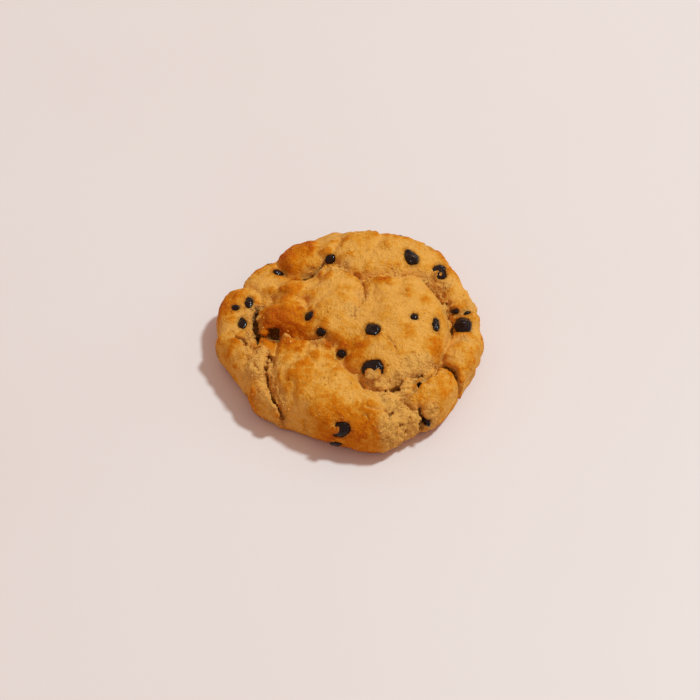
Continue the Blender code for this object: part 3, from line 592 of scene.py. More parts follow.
def folds(x, y, z, unevenness):
    """The dough without cracks, holes and chips."""
    radius = np.hypot(x, y)
    reach = rim_reach(np.arctan2(y, x))
    inset = reach - CORE_INSET
    value = squared_ellipsoid(radius / inset + TINY, 1 / inset, z - CORE_MIDDLE, CORE_TALL, CORE_SQUARE)
    for lobe in LOBES.values():
        value = smooth_min(value, lobe_distance(x, y, z, lobe), lobe.blend)
    tuck = BASE_TUCK * np.clip(1 - z / BASE_TUCK_HEIGHT, 0, 1) ** 2
    value = smooth_max(value, radius - reach + tuck, RIM_ROUNDING)
    for width, height, seed in unevenness:
        value = value + height * bumps(x, y, z, width, seed)
    for valley in VALLEYS.values():
        near = beside_path(x, y, valley.path, valley.width)
        gap, share = gap_to_path(x[near], y[near], valley.path)
        value[near] += valley.depth * openness(share, z[near]) * np.clip(1 - gap / valley.width, 0, 1) ** 2
    return value


def cut_cracks(value, x, y, z, cracks):
    """The dough with grooves cut along the cracks' paths."""
    for crack in cracks:
        near = beside_path(x, y, crack.path, CRACK_NEAR * crack.half_width + CRACK_MARGIN)
        gap, share = gap_to_path(x[near], y[near], crack.path)
        groove = crack.half_width * (openness(share, z[near]) + value[near] / crack.depth) - gap
        value[near] = smooth_max(value[near], groove, CRACK_EDGE)
    return value


def hole_distance(x, y, z, hole):
    """Distance from a hole."""
    return np.sqrt((x - hole.x) ** 2 + (y - hole.y) ** 2 + (z - hole.z) ** 2) - hole.radius


def cut_holes(value, x, y, z, holes):
    """The dough with holes cut into it."""
    for hole in holes:
        value = smooth_max(value, -hole_distance(x, y, z, hole), HOLE_EDGE)
    return value


def plain_dough(x, y, z):
    """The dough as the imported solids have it, before the chips' sockets."""
    x, y, z = (np.atleast_1d(np.asarray(value, float)) for value in (x, y, z))
    value = cut_cracks(folds(x, y, z, UNEVENNESS), x, y, z, CRACKS)
    return np.maximum(cut_holes(value, x, y, z, HOLES), -z)


def landings(places):
    """The points of the skin nearest to places a millimetre or two off it, and the ways out of the dough."""
    sides = SLOPE_REACH * np.concatenate([np.zeros((1, 3)), np.eye(3), -np.eye(3)])
    points = np.array(places, float)
    for _ in range(LANDING_STRIDES):
        around = points[:, None, :] + sides
        values = plain_dough(*around.reshape(-1, 3).T).reshape(len(points), len(sides))
        way = values[:, 1:4] - values[:, 4:7]
        way /= np.linalg.norm(way, axis=1, keepdims=True)
        points = points - way * values[:, :1] * LANDING_SHARE
    return points, way


def chip_places():
    """Each chip with its number and, in millimetres, where its middle goes and which way it faces."""
    points, ways = landings([(chip.x, chip.y, chip.z) for chip in CHIPS])
    found = []
    for number, (chip, point, way) in enumerate(zip(CHIPS, points, ways), 1):
        out = Vector(way)
        reach = {TIP_OUT: CHIP_TOP - CHIP_CENTRE, BASE_OUT: CHIP_CENTRE}[chip.pose] * chip.size
        middle = Vector(point) - out * (reach - chip.proud)
        across = Vector((1, 0, 0)) if abs(out.x) < UPRIGHT else Vector((0, 1, 0))
        across = (across - out * across.dot(out)).normalized()
        upright = Matrix((across, out.cross(across), out)).transposed().to_4x4()
        turn = Matrix.Rotation(math.radians(chip.turn), 4, "Z")
        lie = Matrix.Rotation(math.radians(chip.pose), 4, "Y")
        stretch = Matrix.Diagonal((chip.stretch, 1, 1, 1))
        found.append((number, chip, Matrix.Translation(middle) @ upright @ turn @ lie @ stretch))
    return found


def chip_distance(x, y, z, number, chip, place):
    """Distance from a softened chip, which is a little uneven."""
    back = np.array(place.inverted())
    local = [back[i, 0] * x + back[i, 1] * y + back[i, 2] * z + back[i, 3] for i in range(3)]
    wide = np.hypot(local[0], local[1]) / (CHIP_WIDE * chip.size) + TINY
    rise = local[2] + CHIP_CENTRE * chip.size
    slope = 1 / (CHIP_WIDE * chip.size)
    body = squared_ellipsoid(
        wide, slope, rise - CHIP_BODY_HEIGHT * chip.size, CHIP_BODY_TALL * chip.size, CHIP_BODY_SQUARE
    )
    peak = squared_ellipsoid(
        wide / CHIP_PEAK_WIDE, slope / CHIP_PEAK_WIDE, rise - CHIP_PEAK_HEIGHT * chip.size,
        CHIP_PEAK_TALL * chip.size, 2,
    )
    value = smooth_min(body, peak, CHIP_BLEND * chip.size)
    value = value + CHIP_DENT * chip.size * bumps(x, y, z, CHIP_DENT_WIDTH * chip.size, CHIP_SEED + number)
    for width, height in CHIP_WRINKLES:
        number += 1
        value = value + height * np.abs(bumps(x, y, z, width, CHIP_SEED + number))
    return value


def chip_reach(chip):
    """Half the width of the box that a chip is drawn in."""
    return chip.size * chip.stretch * CHIP_REACH + CHIP_MARGIN


def near_chip(x, y, z, chip, place):
    """Which points lie within reach of a chip and its stain."""
    middle = place.to_translation()
    reach = chip_reach(chip) + STAIN_REACH
    return (np.abs(x - middle.x) < reach) & (np.abs(y - middle.y) < reach) & (np.abs(z - middle.z) < reach)


def beside_chips(x, y, z, chips):
    """For each chip, which points lie within its reach, and how far they are from it."""
    for number, chip, place in chips:
        near = near_chip(x, y, z, chip, place)
        yield near, chip_distance(x[near], y[near], z[near], number, chip, place)


def lumps(x, y):
    """How far the small lumps stand out at each place seen from above."""
    return sum(felt(x, y, lump) for lump in LUMPS)


def inside_rim(x, y):
    """How far inside the outline a place lies, seen from above."""
    return rim_reach(np.arctan2(y, x)) - np.hypot(x, y)


def brokenness(x, y, z, uncut):
    """How far the crust is broken open to crumb, from 0 to 1: in crumbly places and down in cracks."""
    in_crumbly = CRUMBLY_GAIN * spread(x, y, CRUMBLY) * eased(z, *CRUMBLY_RISE)
    return np.clip(in_crumbly + CRUMB_IN_CRACKS * eased(-uncut, *CRUMB_DEPTH), 0, 1)


def puffs(x, y, z):
    """How far the crust puffs up between its creases."""
    strength = eased(bumps(x, y, z, *PUFF_REGION), *PUFF_PATCH) * eased(inside_rim(x, y), *PUFF_INSIDE)
    rise = sum(height * (np.abs(bumps(x, y, z, width, seed)) - PUFF_LEVEL) for width, height, seed in PUFFS)
    return strength * rise


def crumb_drop(x, y, z):
    """How far broken crumb lies below the skin at each place, as a share of the crumb relief."""
    width, height, seed = CRUMB_BUMPS
    relief = height * bumps(x, y, z, width, seed) - CRUMB_LEVEL
    for width, height, gap, seed in CRUMB_CLUMPS:
        relief = relief + height * eased(clumps(x, y, z, width, seed), gap, CRUMB_GAP_FULL)
    return relief


def flap_distance(x, y, z, flap):
    """Distance from one ragged flap."""
    away = lobe_distance(x, y, z, flap)
    for measure, width, height, level, seed in ((clumps, *FLAP_CLUMPS), (bumps, *FLAP_BUMPS)):
        away = away + height * (measure(x, y, z, width, seed) - level)
    return away


def fine_dough(chips, crumb_relief):
    """The dough with everything the fine mesh shows, as a function of place."""

    def dough(x, y, z):
        uncut = folds(x, y, z, UNEVENNESS + FINE_UNEVENNESS) - lumps(x, y) - puffs(x, y, z)
        shifted = []
        for side, along in enumerate((x, y)):
            wander = sum(reach * bumps(x, y, z, width, seed + side) for width, reach, seed in RAGGEDNESS)
            shifted.append(along + wander)
        value = cut_cracks(uncut.copy(), *shifted, z, CRACKS + FISSURES)
        value = cut_holes(value, *shifted, z, HOLES + POCKETS)
        rough = brokenness(x, y, z, uncut)
        some = (rough > 0) & (np.abs(value) < CRUMB_REACH)
        value[some] += rough[some] * crumb_relief * crumb_drop(x[some], y[some], z[some])
        for near, away in beside_chips(x, y, z, chips):
            value[near] = smooth_max(value[near], CHIP_ROOM - away, CHIP_LIP)
        for flap in FLAPS:
            near = np.hypot(x - flap.x, y - flap.y) < flap.long + FLAP_ROOM
            value[near] = smooth_min(value[near], flap_distance(x[near], y[near], z[near], flap), flap.blend)
        lift = RIM_LIFT * eased(np.hypot(x - MIDDLE_X, y - MIDDLE_Y), FOOT_RADIUS, FOOT_RADIUS + RIM_LIFT_RUN)
        return np.maximum(value, lift - z)

    return dough


def grid_of(field, rough_field, low, high, step, cut_into):
    """A grid of a field's values: fully worked out only in the blocks that the surface may pass through."""
    count = np.ceil((high - low) / (step * BLOCK)).astype(int)
    middles = [low[i] + step * (BLOCK * np.arange(count[i]) + BLOCK // 2) for i in range(3)]
    coarse = np.meshgrid(*middles, indexing="ij")
    shape = coarse[0].shape
    flat = [axis.ravel() for axis in coarse]
    values = rough_field(*flat)
    wanted = np.abs(values) < SKIN_REACH
    maybe = ~wanted & (values > -CUT_DEPTH) & (values < CUT_RISE)
    wanted[maybe] = cut_into(*(axis[maybe] for axis in flat))
    wanted = wanted.reshape(shape)
    values = values.reshape(shape)
    for axis in range(3):
        values = np.repeat(values, BLOCK, axis)
        wanted = np.repeat(wanted, BLOCK, axis)
    places = np.nonzero(wanted)
    values[places] = field(*(low[i] + step * places[i] for i in range(3)))
    return values


def without_pinches(values, fill):
    """The same grid of values, filled in where its surface would touch itself along an edge or at a point."""
    values = values.copy()
    corners = [
        tuple(slice(i, i + n - 1) for i, n in zip(corner, values.shape)) for corner in np.ndindex(2, 2, 2)
    ]
    while True:
        inside = values < 0
        pinched = np.zeros(values.shape, bool)
        for axis in range(3):
            state = np.moveaxis(inside, axis, 0)
            mark = np.moveaxis(pinched, axis, 0)
            a, b = state[:, :-1, :-1], state[:, 1:, :-1]
            c, d = state[:, :-1, 1:], state[:, 1:, 1:]
            crosswise = (a == d) & (b == c) & (a != b)
            mark[:, :-1, :-1] |= crosswise
            mark[:, 1:, :-1] |= crosswise
            mark[:, :-1, 1:] |= crosswise
            mark[:, 1:, 1:] |= crosswise
        count = sum(inside[corner].astype(int) for corner in corners)
        for corner, opposite in zip(corners, reversed(corners)):
            lone_pair = (inside[corner] == inside[opposite]) & (count == np.where(inside[corner], 2, 6))
            for each in corners:
                pinched[each] |= lone_pair
        if not (pinched & ~inside).any():
            return values
        values[pinched & ~inside] = -fill


def skin(values, corner, step):
    """Points and four-sided faces of the surface where a grid of values changes sign, a point a cell."""
    inside = values < 0
    cells = [n - 1 for n in values.shape]
    count = np.zeros(cells, int)
    for i, j, k in np.ndindex(2, 2, 2):
        count += inside[i : i + cells[0], j : j + cells[1], k : k + cells[2]]
    crossed = (count > 0) & (count < 8)
    cell = np.argwhere(crossed)
    number = np.full(cells, -1)
    number[crossed] = np.arange(len(cell))
    total = np.zeros((len(cell), 3))
    hits = np.zeros(len(cell))
    faces = []
    unit = np.eye(3, dtype=int)
    for axis in range(3):
        u, v = (axis + 1) % 3, (axis + 2) % 3
        for i, j in np.ndindex(2, 2):
            start = i * unit[u] + j * unit[v]
            low = values[tuple((cell + start).T)]
            high = values[tuple((cell + start + unit[axis]).T)]
            cut = (low < 0) != (high < 0)
            share = np.where(cut, low / np.where(cut, low - high, 1), 0)
            total += np.where(cut[:, None], start + share[:, None] * unit[axis], 0)
            hits += cut
        first = np.take(inside, range(cells[axis]), axis)
        second = np.take(inside, range(1, cells[axis] + 1), axis)
        edge = np.argwhere(first != second)
        edge = edge[(edge[:, u] > 0) & (edge[:, v] > 0) & (edge[:, u] < cells[u]) & (edge[:, v] < cells[v])]
        ring = [edge - unit[u] - unit[v], edge - unit[v], edge, edge - unit[u]]
        quad = np.stack([number[tuple(c.T)] for c in ring], 1)
        outward = first[tuple(edge.T)]
        faces.append(np.where(outward[:, None], quad, quad[:, ::-1]))
    points = np.array(corner) + step * (cell + total / hits[:, None])
    return points, np.concatenate(faces)


def largest_body(points, faces):
    """The surface without the small closed shells of pockets and scraps."""
    group = np.arange(len(points))
    while True:
        lowest = group[faces].min(1)
        reached = group.copy()
        np.minimum.at(reached, faces.ravel(), np.repeat(lowest, faces.shape[1]))
        reached = reached[reached]
        if (reached == group).all():
            break
        group = reached
    names, sizes = np.unique(group, return_counts=True)
    kept = group == names[np.argmax(sizes)]
    number = np.cumsum(kept) - 1
    return points[kept], number[faces[kept[faces].all(1)]]


def facing(points, faces):
    """The way out of the surface at each point, from the faces around it."""
    a, b, c, d = (points[faces[:, i]] for i in range(4))
    across = np.cross(c - a, d - b)
    total = np.zeros(points.shape)
    for i in range(4):
        np.add.at(total, faces[:, i], across)
    return total / np.maximum(np.linalg.norm(total, axis=1, keepdims=True), TINY)


def neighbour_mean(edges, values):
    """Each point's mean of a value over the points it shares an edge with."""
    ends = np.concatenate([edges[:, 0], edges[:, 1]])
    starts = np.concatenate([edges[:, 1], edges[:, 0]])
    count = np.maximum(np.bincount(ends, minlength=len(values)), 1)
    columns = [np.bincount(ends, column[starts], len(values)) / count for column in values.T]
    return np.stack(columns, 1)


def stands_proud(points, edges, normals, rounds):
    """How far each point stands out of the surface around it, once that is smoothed by a number of rounds."""
    soft = points
    for _ in range(rounds):
        soft = 0.5 * soft + 0.5 * neighbour_mean(edges, soft)
    return ((points - soft) * normals).sum(1)


def add_piece(name, mesh, finish, slot, *nodes):
    """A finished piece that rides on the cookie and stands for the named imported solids."""
    mesh.materials.clear()
    mesh.materials.append(finish)
    mesh.polygons.foreach_set("material_index", np.zeros(len(mesh.polygons), np.int32))
    mesh.shade_smooth()
    piece = bpy.data.objects.new(name, mesh)
    bpy.context.scene.collection.objects.link(piece)
    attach(piece, ROOT)
    if nodes:
        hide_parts(*nodes)


def paint(mesh, name, values):
    """Keeps a number for each point of a mesh under a name that materials and nodes read."""
    layer = mesh.attributes.new(name, "FLOAT", "POINT")
    layer.data.foreach_set("value", np.asarray(values, np.float32))


class Socket:
    """A socket of a material under construction, which Python's operators add Math nodes to."""

    def __init__(self, finish, socket):
        self.finish = finish
        self.socket = socket

    def _math(self, operation, *values):
        return self.finish.node("ShaderNodeMath", {"operation": operation}, dict(enumerate(values)))

    def __add__(self, other):
        return self._math("ADD", self, other)

    __radd__ = __add__

    def __sub__(self, other):
        return self._math("SUBTRACT", self, other)

    def __rsub__(self, other):
        return self._math("SUBTRACT", other, self)

    def __mul__(self, other):
        return self._math("MULTIPLY", self, other)

    __rmul__ = __mul__

    def rising(self, low, high):
        """0 below low, 1 above high, and a smooth rise between."""
        sockets = {"Value": self, "From Min": low, "From Max": high}
        return self.finish.node("ShaderNodeMapRange", {"interpolation_type": "SMOOTHSTEP"}, sockets)


def pick(sockets, name):
    """A socket by its place in the list, its identifier or its name."""
    if isinstance(name, int):
        return sockets[name]
    for socket in sockets:
        if socket.identifier == name:
            return socket
    return sockets[name]


def add_node(tree, kind, settings, inputs, output):
    """Adds a node with its settings, sets or links its inputs, and returns one of its outputs."""
    made = tree.nodes.new(kind)
    for name, value in (settings or {}).items():
        setattr(made, name, value)
    for name, value in (inputs or {}).items():
        target = pick(made.inputs, name)
        if isinstance(value, bpy.types.NodeSocket):
            tree.links.new(value, target)
        elif isinstance(value, (int, float, str)):
            target.default_value = value
        else:
            target.default_value = (*value, 1.0)[: len(target.default_value)]
    return pick(made.outputs, output)


class Finish:
    """A material under construction."""

    def __init__(self, name):
        self.material = bpy.data.materials.new(name)
        self.material.use_nodes = True
        self.tree = self.material.node_tree
        self.tree.nodes.clear()

    def node(self, kind, settings=None, inputs=None, output=0):
        """Adds a node and returns one of its outputs, ready for arithmetic."""
        plain = {}
        for name, value in (inputs or {}).items():
            plain[name] = value.socket if isinstance(value, Socket) else value
        return Socket(self, add_node(self.tree, kind, settings, plain, output))

    def place(self):
        """Object coordinates."""
        return self.node("ShaderNodeTexCoord", output="Object")

    def painted(self, name):
        """A number kept for each point of the mesh."""
        return self.node("ShaderNodeAttribute", {"attribute_name": name}, output="Fac")

    def noise(self, width, detail, roughness=0.5):
        """Noise of about that width in metres, mostly between 0.3 and 0.7."""
        sockets = {"Vector": self.place(), "Scale": 1 / width, "Detail": detail, "Roughness": roughness}
        return self.node("ShaderNodeTexNoise", None, sockets)

    def cells(self, width, feature="F1"):
        """Distance to the nearest of scattered points or to the edge between their cells, in widths."""
        sockets = {"Vector": self.place(), "Scale": 1 / width}
        return self.node("ShaderNodeTexVoronoi", {"feature": feature}, sockets, output="Distance")

    def mixed(self, share, first, second):
        """Two colours mixed by a share."""
        sockets = {"Factor_Float": share, "A_Color": first, "B_Color": second}
        return self.node("ShaderNodeMix", {"data_type": "RGBA"}, sockets, output="Result_Color")

    def bump(self, height, distance, under=None):
        """A relief of that height in metres, on top of another one if there is one under it."""
        sockets = {"Height": height, "Distance": distance, "Strength": 1.0}
        if under:
            sockets["Normal"] = under
        return self.node("ShaderNodeBump", None, sockets)

    def surface(self, **inputs):
        """Ends the material in a Principled BSDF."""
        sockets = {name.replace("_", " "): value for name, value in inputs.items()}
        shader = self.node("ShaderNodeBsdfPrincipled", None, sockets)
        end = self.tree.nodes.new("ShaderNodeOutputMaterial")
        self.tree.links.new(shader.socket, end.inputs["Surface"])
        return self.material


# Colours in linear values that no panel shows: chocolate smeared on dough, painted shade deep in a crevice,
# the dusty bloom on chocolate, sugar where it is pale and where it is amber, and the table's lightest clouds.
STAIN_COLOUR = (0.16, 0.07, 0.028)
CREVICE_SHADE_COLOUR = (0.20, 0.085, 0.026)
BLOOM_COLOUR = (0.08, 0.04, 0.028)
PALE_SUGAR = (0.80, 0.50, 0.18)
AMBER_SUGAR = (0.70, 0.33, 0.07)
TABLE_CLOUDS = (1.0, 1.0, 1.0)

# The crust's patterns, by width in metres: baked patches, mottle, grain, waves, the finest cells, pinprick
# pits and the net of its crackle, whose pits and hairline cracks also carry painted shade. Then the relief of
# some of them, in metres.
PATCH_WIDTH = 0.006
MOTTLE_WIDTH = 0.0016
GRAIN_WIDTH = 0.0006
WAVE_WIDTH = 0.0014
CELL_WIDTH = 0.0009
PIT_WIDTH = 0.0024
CRACKLE_WIDTH = 0.0029
WAVE_RELIEF = 0.0007
CELL_RELIEF = 0.0002
GRAIN_RELIEF = 0.0005
PIT_RELIEF = 0.0005


def dough_finish(colours):
    """Baked crust: golden, browner where raised, paler in hollows, with pale crumb where it's broken."""
    finish = Finish("baked_dough")
    toast, crumb, depth = finish.painted("toast"), finish.painted("crumb"), finish.painted("depth")
    patches = finish.noise(PATCH_WIDTH, detail=4, roughness=0.6)
    mottle = finish.noise(MOTTLE_WIDTH, detail=4, roughness=0.65)
    grain = finish.noise(GRAIN_WIDTH, detail=3, roughness=0.75)
    warmth = toast + (patches - 0.5) * 1.35 + (mottle - 0.5) * 0.9 - 0.08
    colour = finish.mixed(warmth.rising(-0.1, 0.3), colours.pale, colours.golden)
    colour = finish.mixed(warmth.rising(0.2, 0.65), colour, colours.brown)
    colour = finish.mixed(warmth.rising(0.65, 1.05) * 0.85, colour, colours.dark)
    colour = finish.mixed((crumb + (mottle - 0.5) * 0.9).rising(0.25, 0.75) * 0.85, colour, colours.crumb)
    pits = (0.17 - finish.cells(PIT_WIDTH)).rising(0.0, 0.12) * patches.rising(0.45, 0.6)
    edges = (0.06 - finish.cells(CRACKLE_WIDTH, "DISTANCE_TO_EDGE")).rising(0.0, 0.06)
    crackle = edges * (crumb + (patches - 0.5) * 1.5).rising(0.3, 0.7) * mottle.rising(0.46, 0.6)
    # Painted shade: the pinprick pits and the crackle's hairline cracks are darkened towards the dark crust.
    colour = finish.mixed(pits * 0.4, colour, colours.dark)
    colour = finish.mixed(crackle * 0.22, colour, colours.dark)
    colour = finish.mixed(finish.painted("stain") * mottle.rising(0.3, 0.6) * 0.6, colour, STAIN_COLOUR)
    light = finish.mixed(warmth.rising(0.1, 0.6), colours.pale, colours.golden)
    colour = finish.mixed((grain - 0.45).rising(0.0, 0.2) * 0.45, colour, light)
    colour = finish.mixed((0.46 - grain).rising(0.0, 0.2) * (0.75 - 0.4 * crumb), colour, colours.brown)
    # Painted shade: the crust darkens towards a dull brown deep in crevices, by the painted depth.
    colour = finish.mixed(depth.rising(0.9, 3.0) * 0.85, colour, CREVICE_SHADE_COLOUR)
    relief = finish.bump(finish.noise(WAVE_WIDTH, detail=3, roughness=0.6), WAVE_RELIEF)
    relief = finish.bump(finish.cells(CELL_WIDTH), CELL_RELIEF, relief)
    relief = finish.bump(grain, GRAIN_RELIEF, relief)
    relief = finish.bump(0 - pits - crackle * 0.5, PIT_RELIEF, relief)
    return finish.surface(
        Base_Color=colour, Roughness=0.66 + 0.2 * mottle, Normal=relief, Specular_IOR_Level=0.07,
    )


def chocolate_finish(colours):
    """Dark chocolate with a soft sheen, faint wrinkles and a dusty bloom in places."""
    finish = Finish("chocolate")
    relief = finish.bump(finish.noise(width=0.0017, detail=2), distance=0.0007)
    bloom = finish.noise(width=0.0022, detail=4, roughness=0.65).rising(0.55, 0.72)
    colour = finish.mixed(bloom * 0.15, colours.chocolate, BLOOM_COLOUR)
    return finish.surface(
        Base_Color=colour, Roughness=0.14 + 0.2 * bloom, Normal=relief, Specular_IOR_Level=0.25,
    )


def crumb_finish(colours):
    """Loose crumbs: pale inside crumb, some toasted."""
    finish = Finish("crumbs")
    tone = finish.noise(width=0.0021, detail=2)
    colour = finish.mixed(tone.rising(0.4, 0.65), colours.crumb, colours.golden)
    relief = finish.bump(finish.noise(width=0.0003, detail=3), distance=0.0001)
    return finish.surface(Base_Color=colour, Roughness=0.75 + 0.1 * tone, Normal=relief)


def sugar_finish():
    """Half-melted sugar: amber, clear and glossy."""
    finish = Finish("sugar")
    tone = finish.noise(width=0.003, detail=1)
    colour = finish.mixed(tone.rising(0.35, 0.65), PALE_SUGAR, AMBER_SUGAR)
    return finish.surface(Base_Color=colour, Roughness=0.12 + 0.1 * tone)


def table_finish(colours):
    """A plain pale surface with the faintest unevenness."""
    finish = Finish("table")
    tone = finish.noise(width=0.2, detail=2)
    colour = finish.mixed(tone.rising(0.3, 0.7) * 0.05, colours.table, TABLE_CLOUDS)
    return finish.surface(Base_Color=colour, Roughness=0.45 + 0.05 * tone)


def rough_dough(x, y, z):
    """The dough's folds and lumps alone, which tell roughly where its skin passes."""
    return np.maximum(folds(x, y, z, UNEVENNESS) - lumps(x, y), -z)


def may_be_cut(x, y, z, chips):
    """Which places a crack, a hole or a chip's socket may reach."""
    reached = np.zeros(x.shape, bool)
    for crack in CRACKS + FISSURES:
        room = crack.half_width + CRACK_ROOM
        near = beside_path(x, y, crack.path, room)
        gap, _ = gap_to_path(x[near], y[near], crack.path)
        reached[near] |= gap < room
    for hole in HOLES + POCKETS:
        reached |= hole_distance(x, y, z, hole) < HOLE_ROOM
    for _, chip, place in chips:
        reached |= near_chip(x, y, z, chip, place)
    return reached


def settled(points, faces, dough, step):
    """The points of a skin moved onto the dough's true surface."""
    for _ in range(SETTLING_STRIDES):
        way = facing(points, faces)
        here, ahead = dough(*points.T), dough(*(points + SETTLING_REACH * way).T)
        slope = np.clip((ahead - here) / SETTLING_REACH, *SETTLING_SLOPES)
        stride = SETTLING_SHARE * step
        points = points - way * np.clip(here / slope, -stride, stride)[:, None]
    return points


def paint_dough(mesh, points, chips):
    """Keeps what the dough's material reads, for each point: toast, crumb, depth for the painted crevice
    shade, and chocolate stain.
    """
    x, y, z = points.T
    uncut = folds(x, y, z, UNEVENNESS) - lumps(x, y)
    edges = np.array([edge.vertices for edge in mesh.edges])
    normals = np.empty(3 * len(points), np.float32)
    mesh.vertex_normals.foreach_get("vector", normals)
    toast = spread(x, y, TOASTED) + BASE_TOAST * eased(BASE_TOAST_TOP - z, 0, BASE_TOAST_RUN)
    for rounds, strength, least, most in PROUD_TOAST:
        proud = stands_proud(points, edges, normals.reshape(-1, 3), rounds)
        toast = toast + np.clip(strength * proud, least, most)
    crumb = brokenness(x, y, z, uncut)
    stain = np.zeros(len(points))
    for near, away in beside_chips(x, y, z, chips):
        stain[near] = np.maximum(stain[near], eased(STAIN_REACH - away, 0, STAIN_REACH - CHIP_ROOM))
    under = z == 0
    paint(mesh, "toast", np.where(under, UNDERSIDE_TOAST, np.clip(toast, 0, 1)))
    paint(mesh, "crumb", np.where(under, 0, crumb))
    # How deep below the uncut skin each point lies. The material paints shade into crevices from it.
    paint(mesh, "depth", np.clip(-uncut, 0, DEEPEST))
    paint(mesh, "stain", stain)
    paint(mesh, "broken", np.where(z > LOOSE_CRUMB_HEIGHT, crumb, 0))


def metre_mesh(name, points, faces):
    """A mesh in metres about the cookie's box, from points in millimetres about the middle of the folds."""
    mesh = bpy.data.meshes.new(name)
    mesh.from_pydata(points.tolist(), [], faces.tolist())
    mesh.transform(Matrix.Scale(MM, 4) @ Matrix.Translation((-MIDDLE_X, -MIDDLE_Y, 0)))
    return mesh


def dough_mesh(step, crumb_relief):
    """The fine dough's mesh, with what its material reads kept for each point."""
    middle = np.array((MIDDLE_X, MIDDLE_Y, 0))
    low, high = (np.array(corner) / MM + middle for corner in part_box("dough"))
    low, high = low - GRID_ROOM * step, high + (GRID_ROOM + 1) * step
    chips = chip_places()
    dough = fine_dough(chips, crumb_relief)
    values = grid_of(dough, rough_dough, low, high, step, lambda x, y, z: may_be_cut(x, y, z, chips))
    points, faces = largest_body(*skin(without_pinches(values, GRID_FILL * step), low, step))
    points = settled(points, faces, dough, step)
    points[points[:, 2] < FLAT_WITHIN, 2] = 0
    mesh = metre_mesh("dough_crust", points, faces)
    paint_dough(mesh, points, chips)
    return level_base(mesh)


def level_base(mesh):
    """Joins the flat underside's faces, well inside its edge, into one."""
    bm = bmesh.new()
    bm.from_mesh(mesh)
    inner = (FOOT_RADIUS - FOOT_EDGE) * MM
    flat = [face for face in bm.faces if all(v.co.z == 0 and v.co.xy.length < inner for v in face.verts)]
    bmesh.ops.dissolve_faces(bm, faces=flat, use_verts=True)
    bm.to_mesh(mesh)
    bm.free()
    return mesh


class COOKIE_OT_dough(Operator):
    """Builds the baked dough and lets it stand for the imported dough"""

    bl_idname = "cookie.dough"
    bl_label = "Dough"

    def execute(self, context):
        sizes, colours = context.scene.cookie_sizes, context.scene.cookie_colours
        mesh = dough_mesh(sizes.grid_step / MM, sizes.crumb_relief / MM)
        add_piece("dough_crust", mesh, dough_finish(colours), "baked_dough", "dough")
        return {"FINISHED"}


class COOKIE_OT_chips(Operator):
    """Builds the chocolate chips, each in its own socket"""

    bl_idname = "cookie.chips"
    bl_label = "Chocolate Chips"

    def execute(self, context):
        finish = chocolate_finish(context.scene.cookie_colours)
        for number, chip, place in chip_places():
            corner = np.array(place.to_translation()) - chip_reach(chip)
            steps = CHIP_STEP * np.arange(int(2 * chip_reach(chip) / CHIP_STEP) + 1)
            grid = np.meshgrid(*(start + steps for start in corner), indexing="ij")
            values = without_pinches(chip_distance(*grid, number, chip, place), GRID_FILL * CHIP_STEP)
            points, faces = largest_body(*skin(values, corner, CHIP_STEP))
            mesh = metre_mesh(f"chocolate_{number:02d}", points, faces)
            add_piece(mesh.name, mesh, finish, "chocolate", f"chip_{number:02d}")
        return {"FINISHED"}


# Copies scattered over the crust are turned by up to this about each axis, and sized between these.
MOST_TURN = (6.3, 6.3, 6.3)
LEAST_SIZE = (0.45, 0.45, 0.4)
MOST_SIZE = (1.5, 1.3, 1.0)
# A crumb is a ball of so many subdivisions, pushed about by noise. Sugar shows above this height, in metres.
CRUMB_SUBDIVISIONS = 2
CRUMB_NOISE_SCALE = 1500.0
SUGAR_ABOVE = 0.003


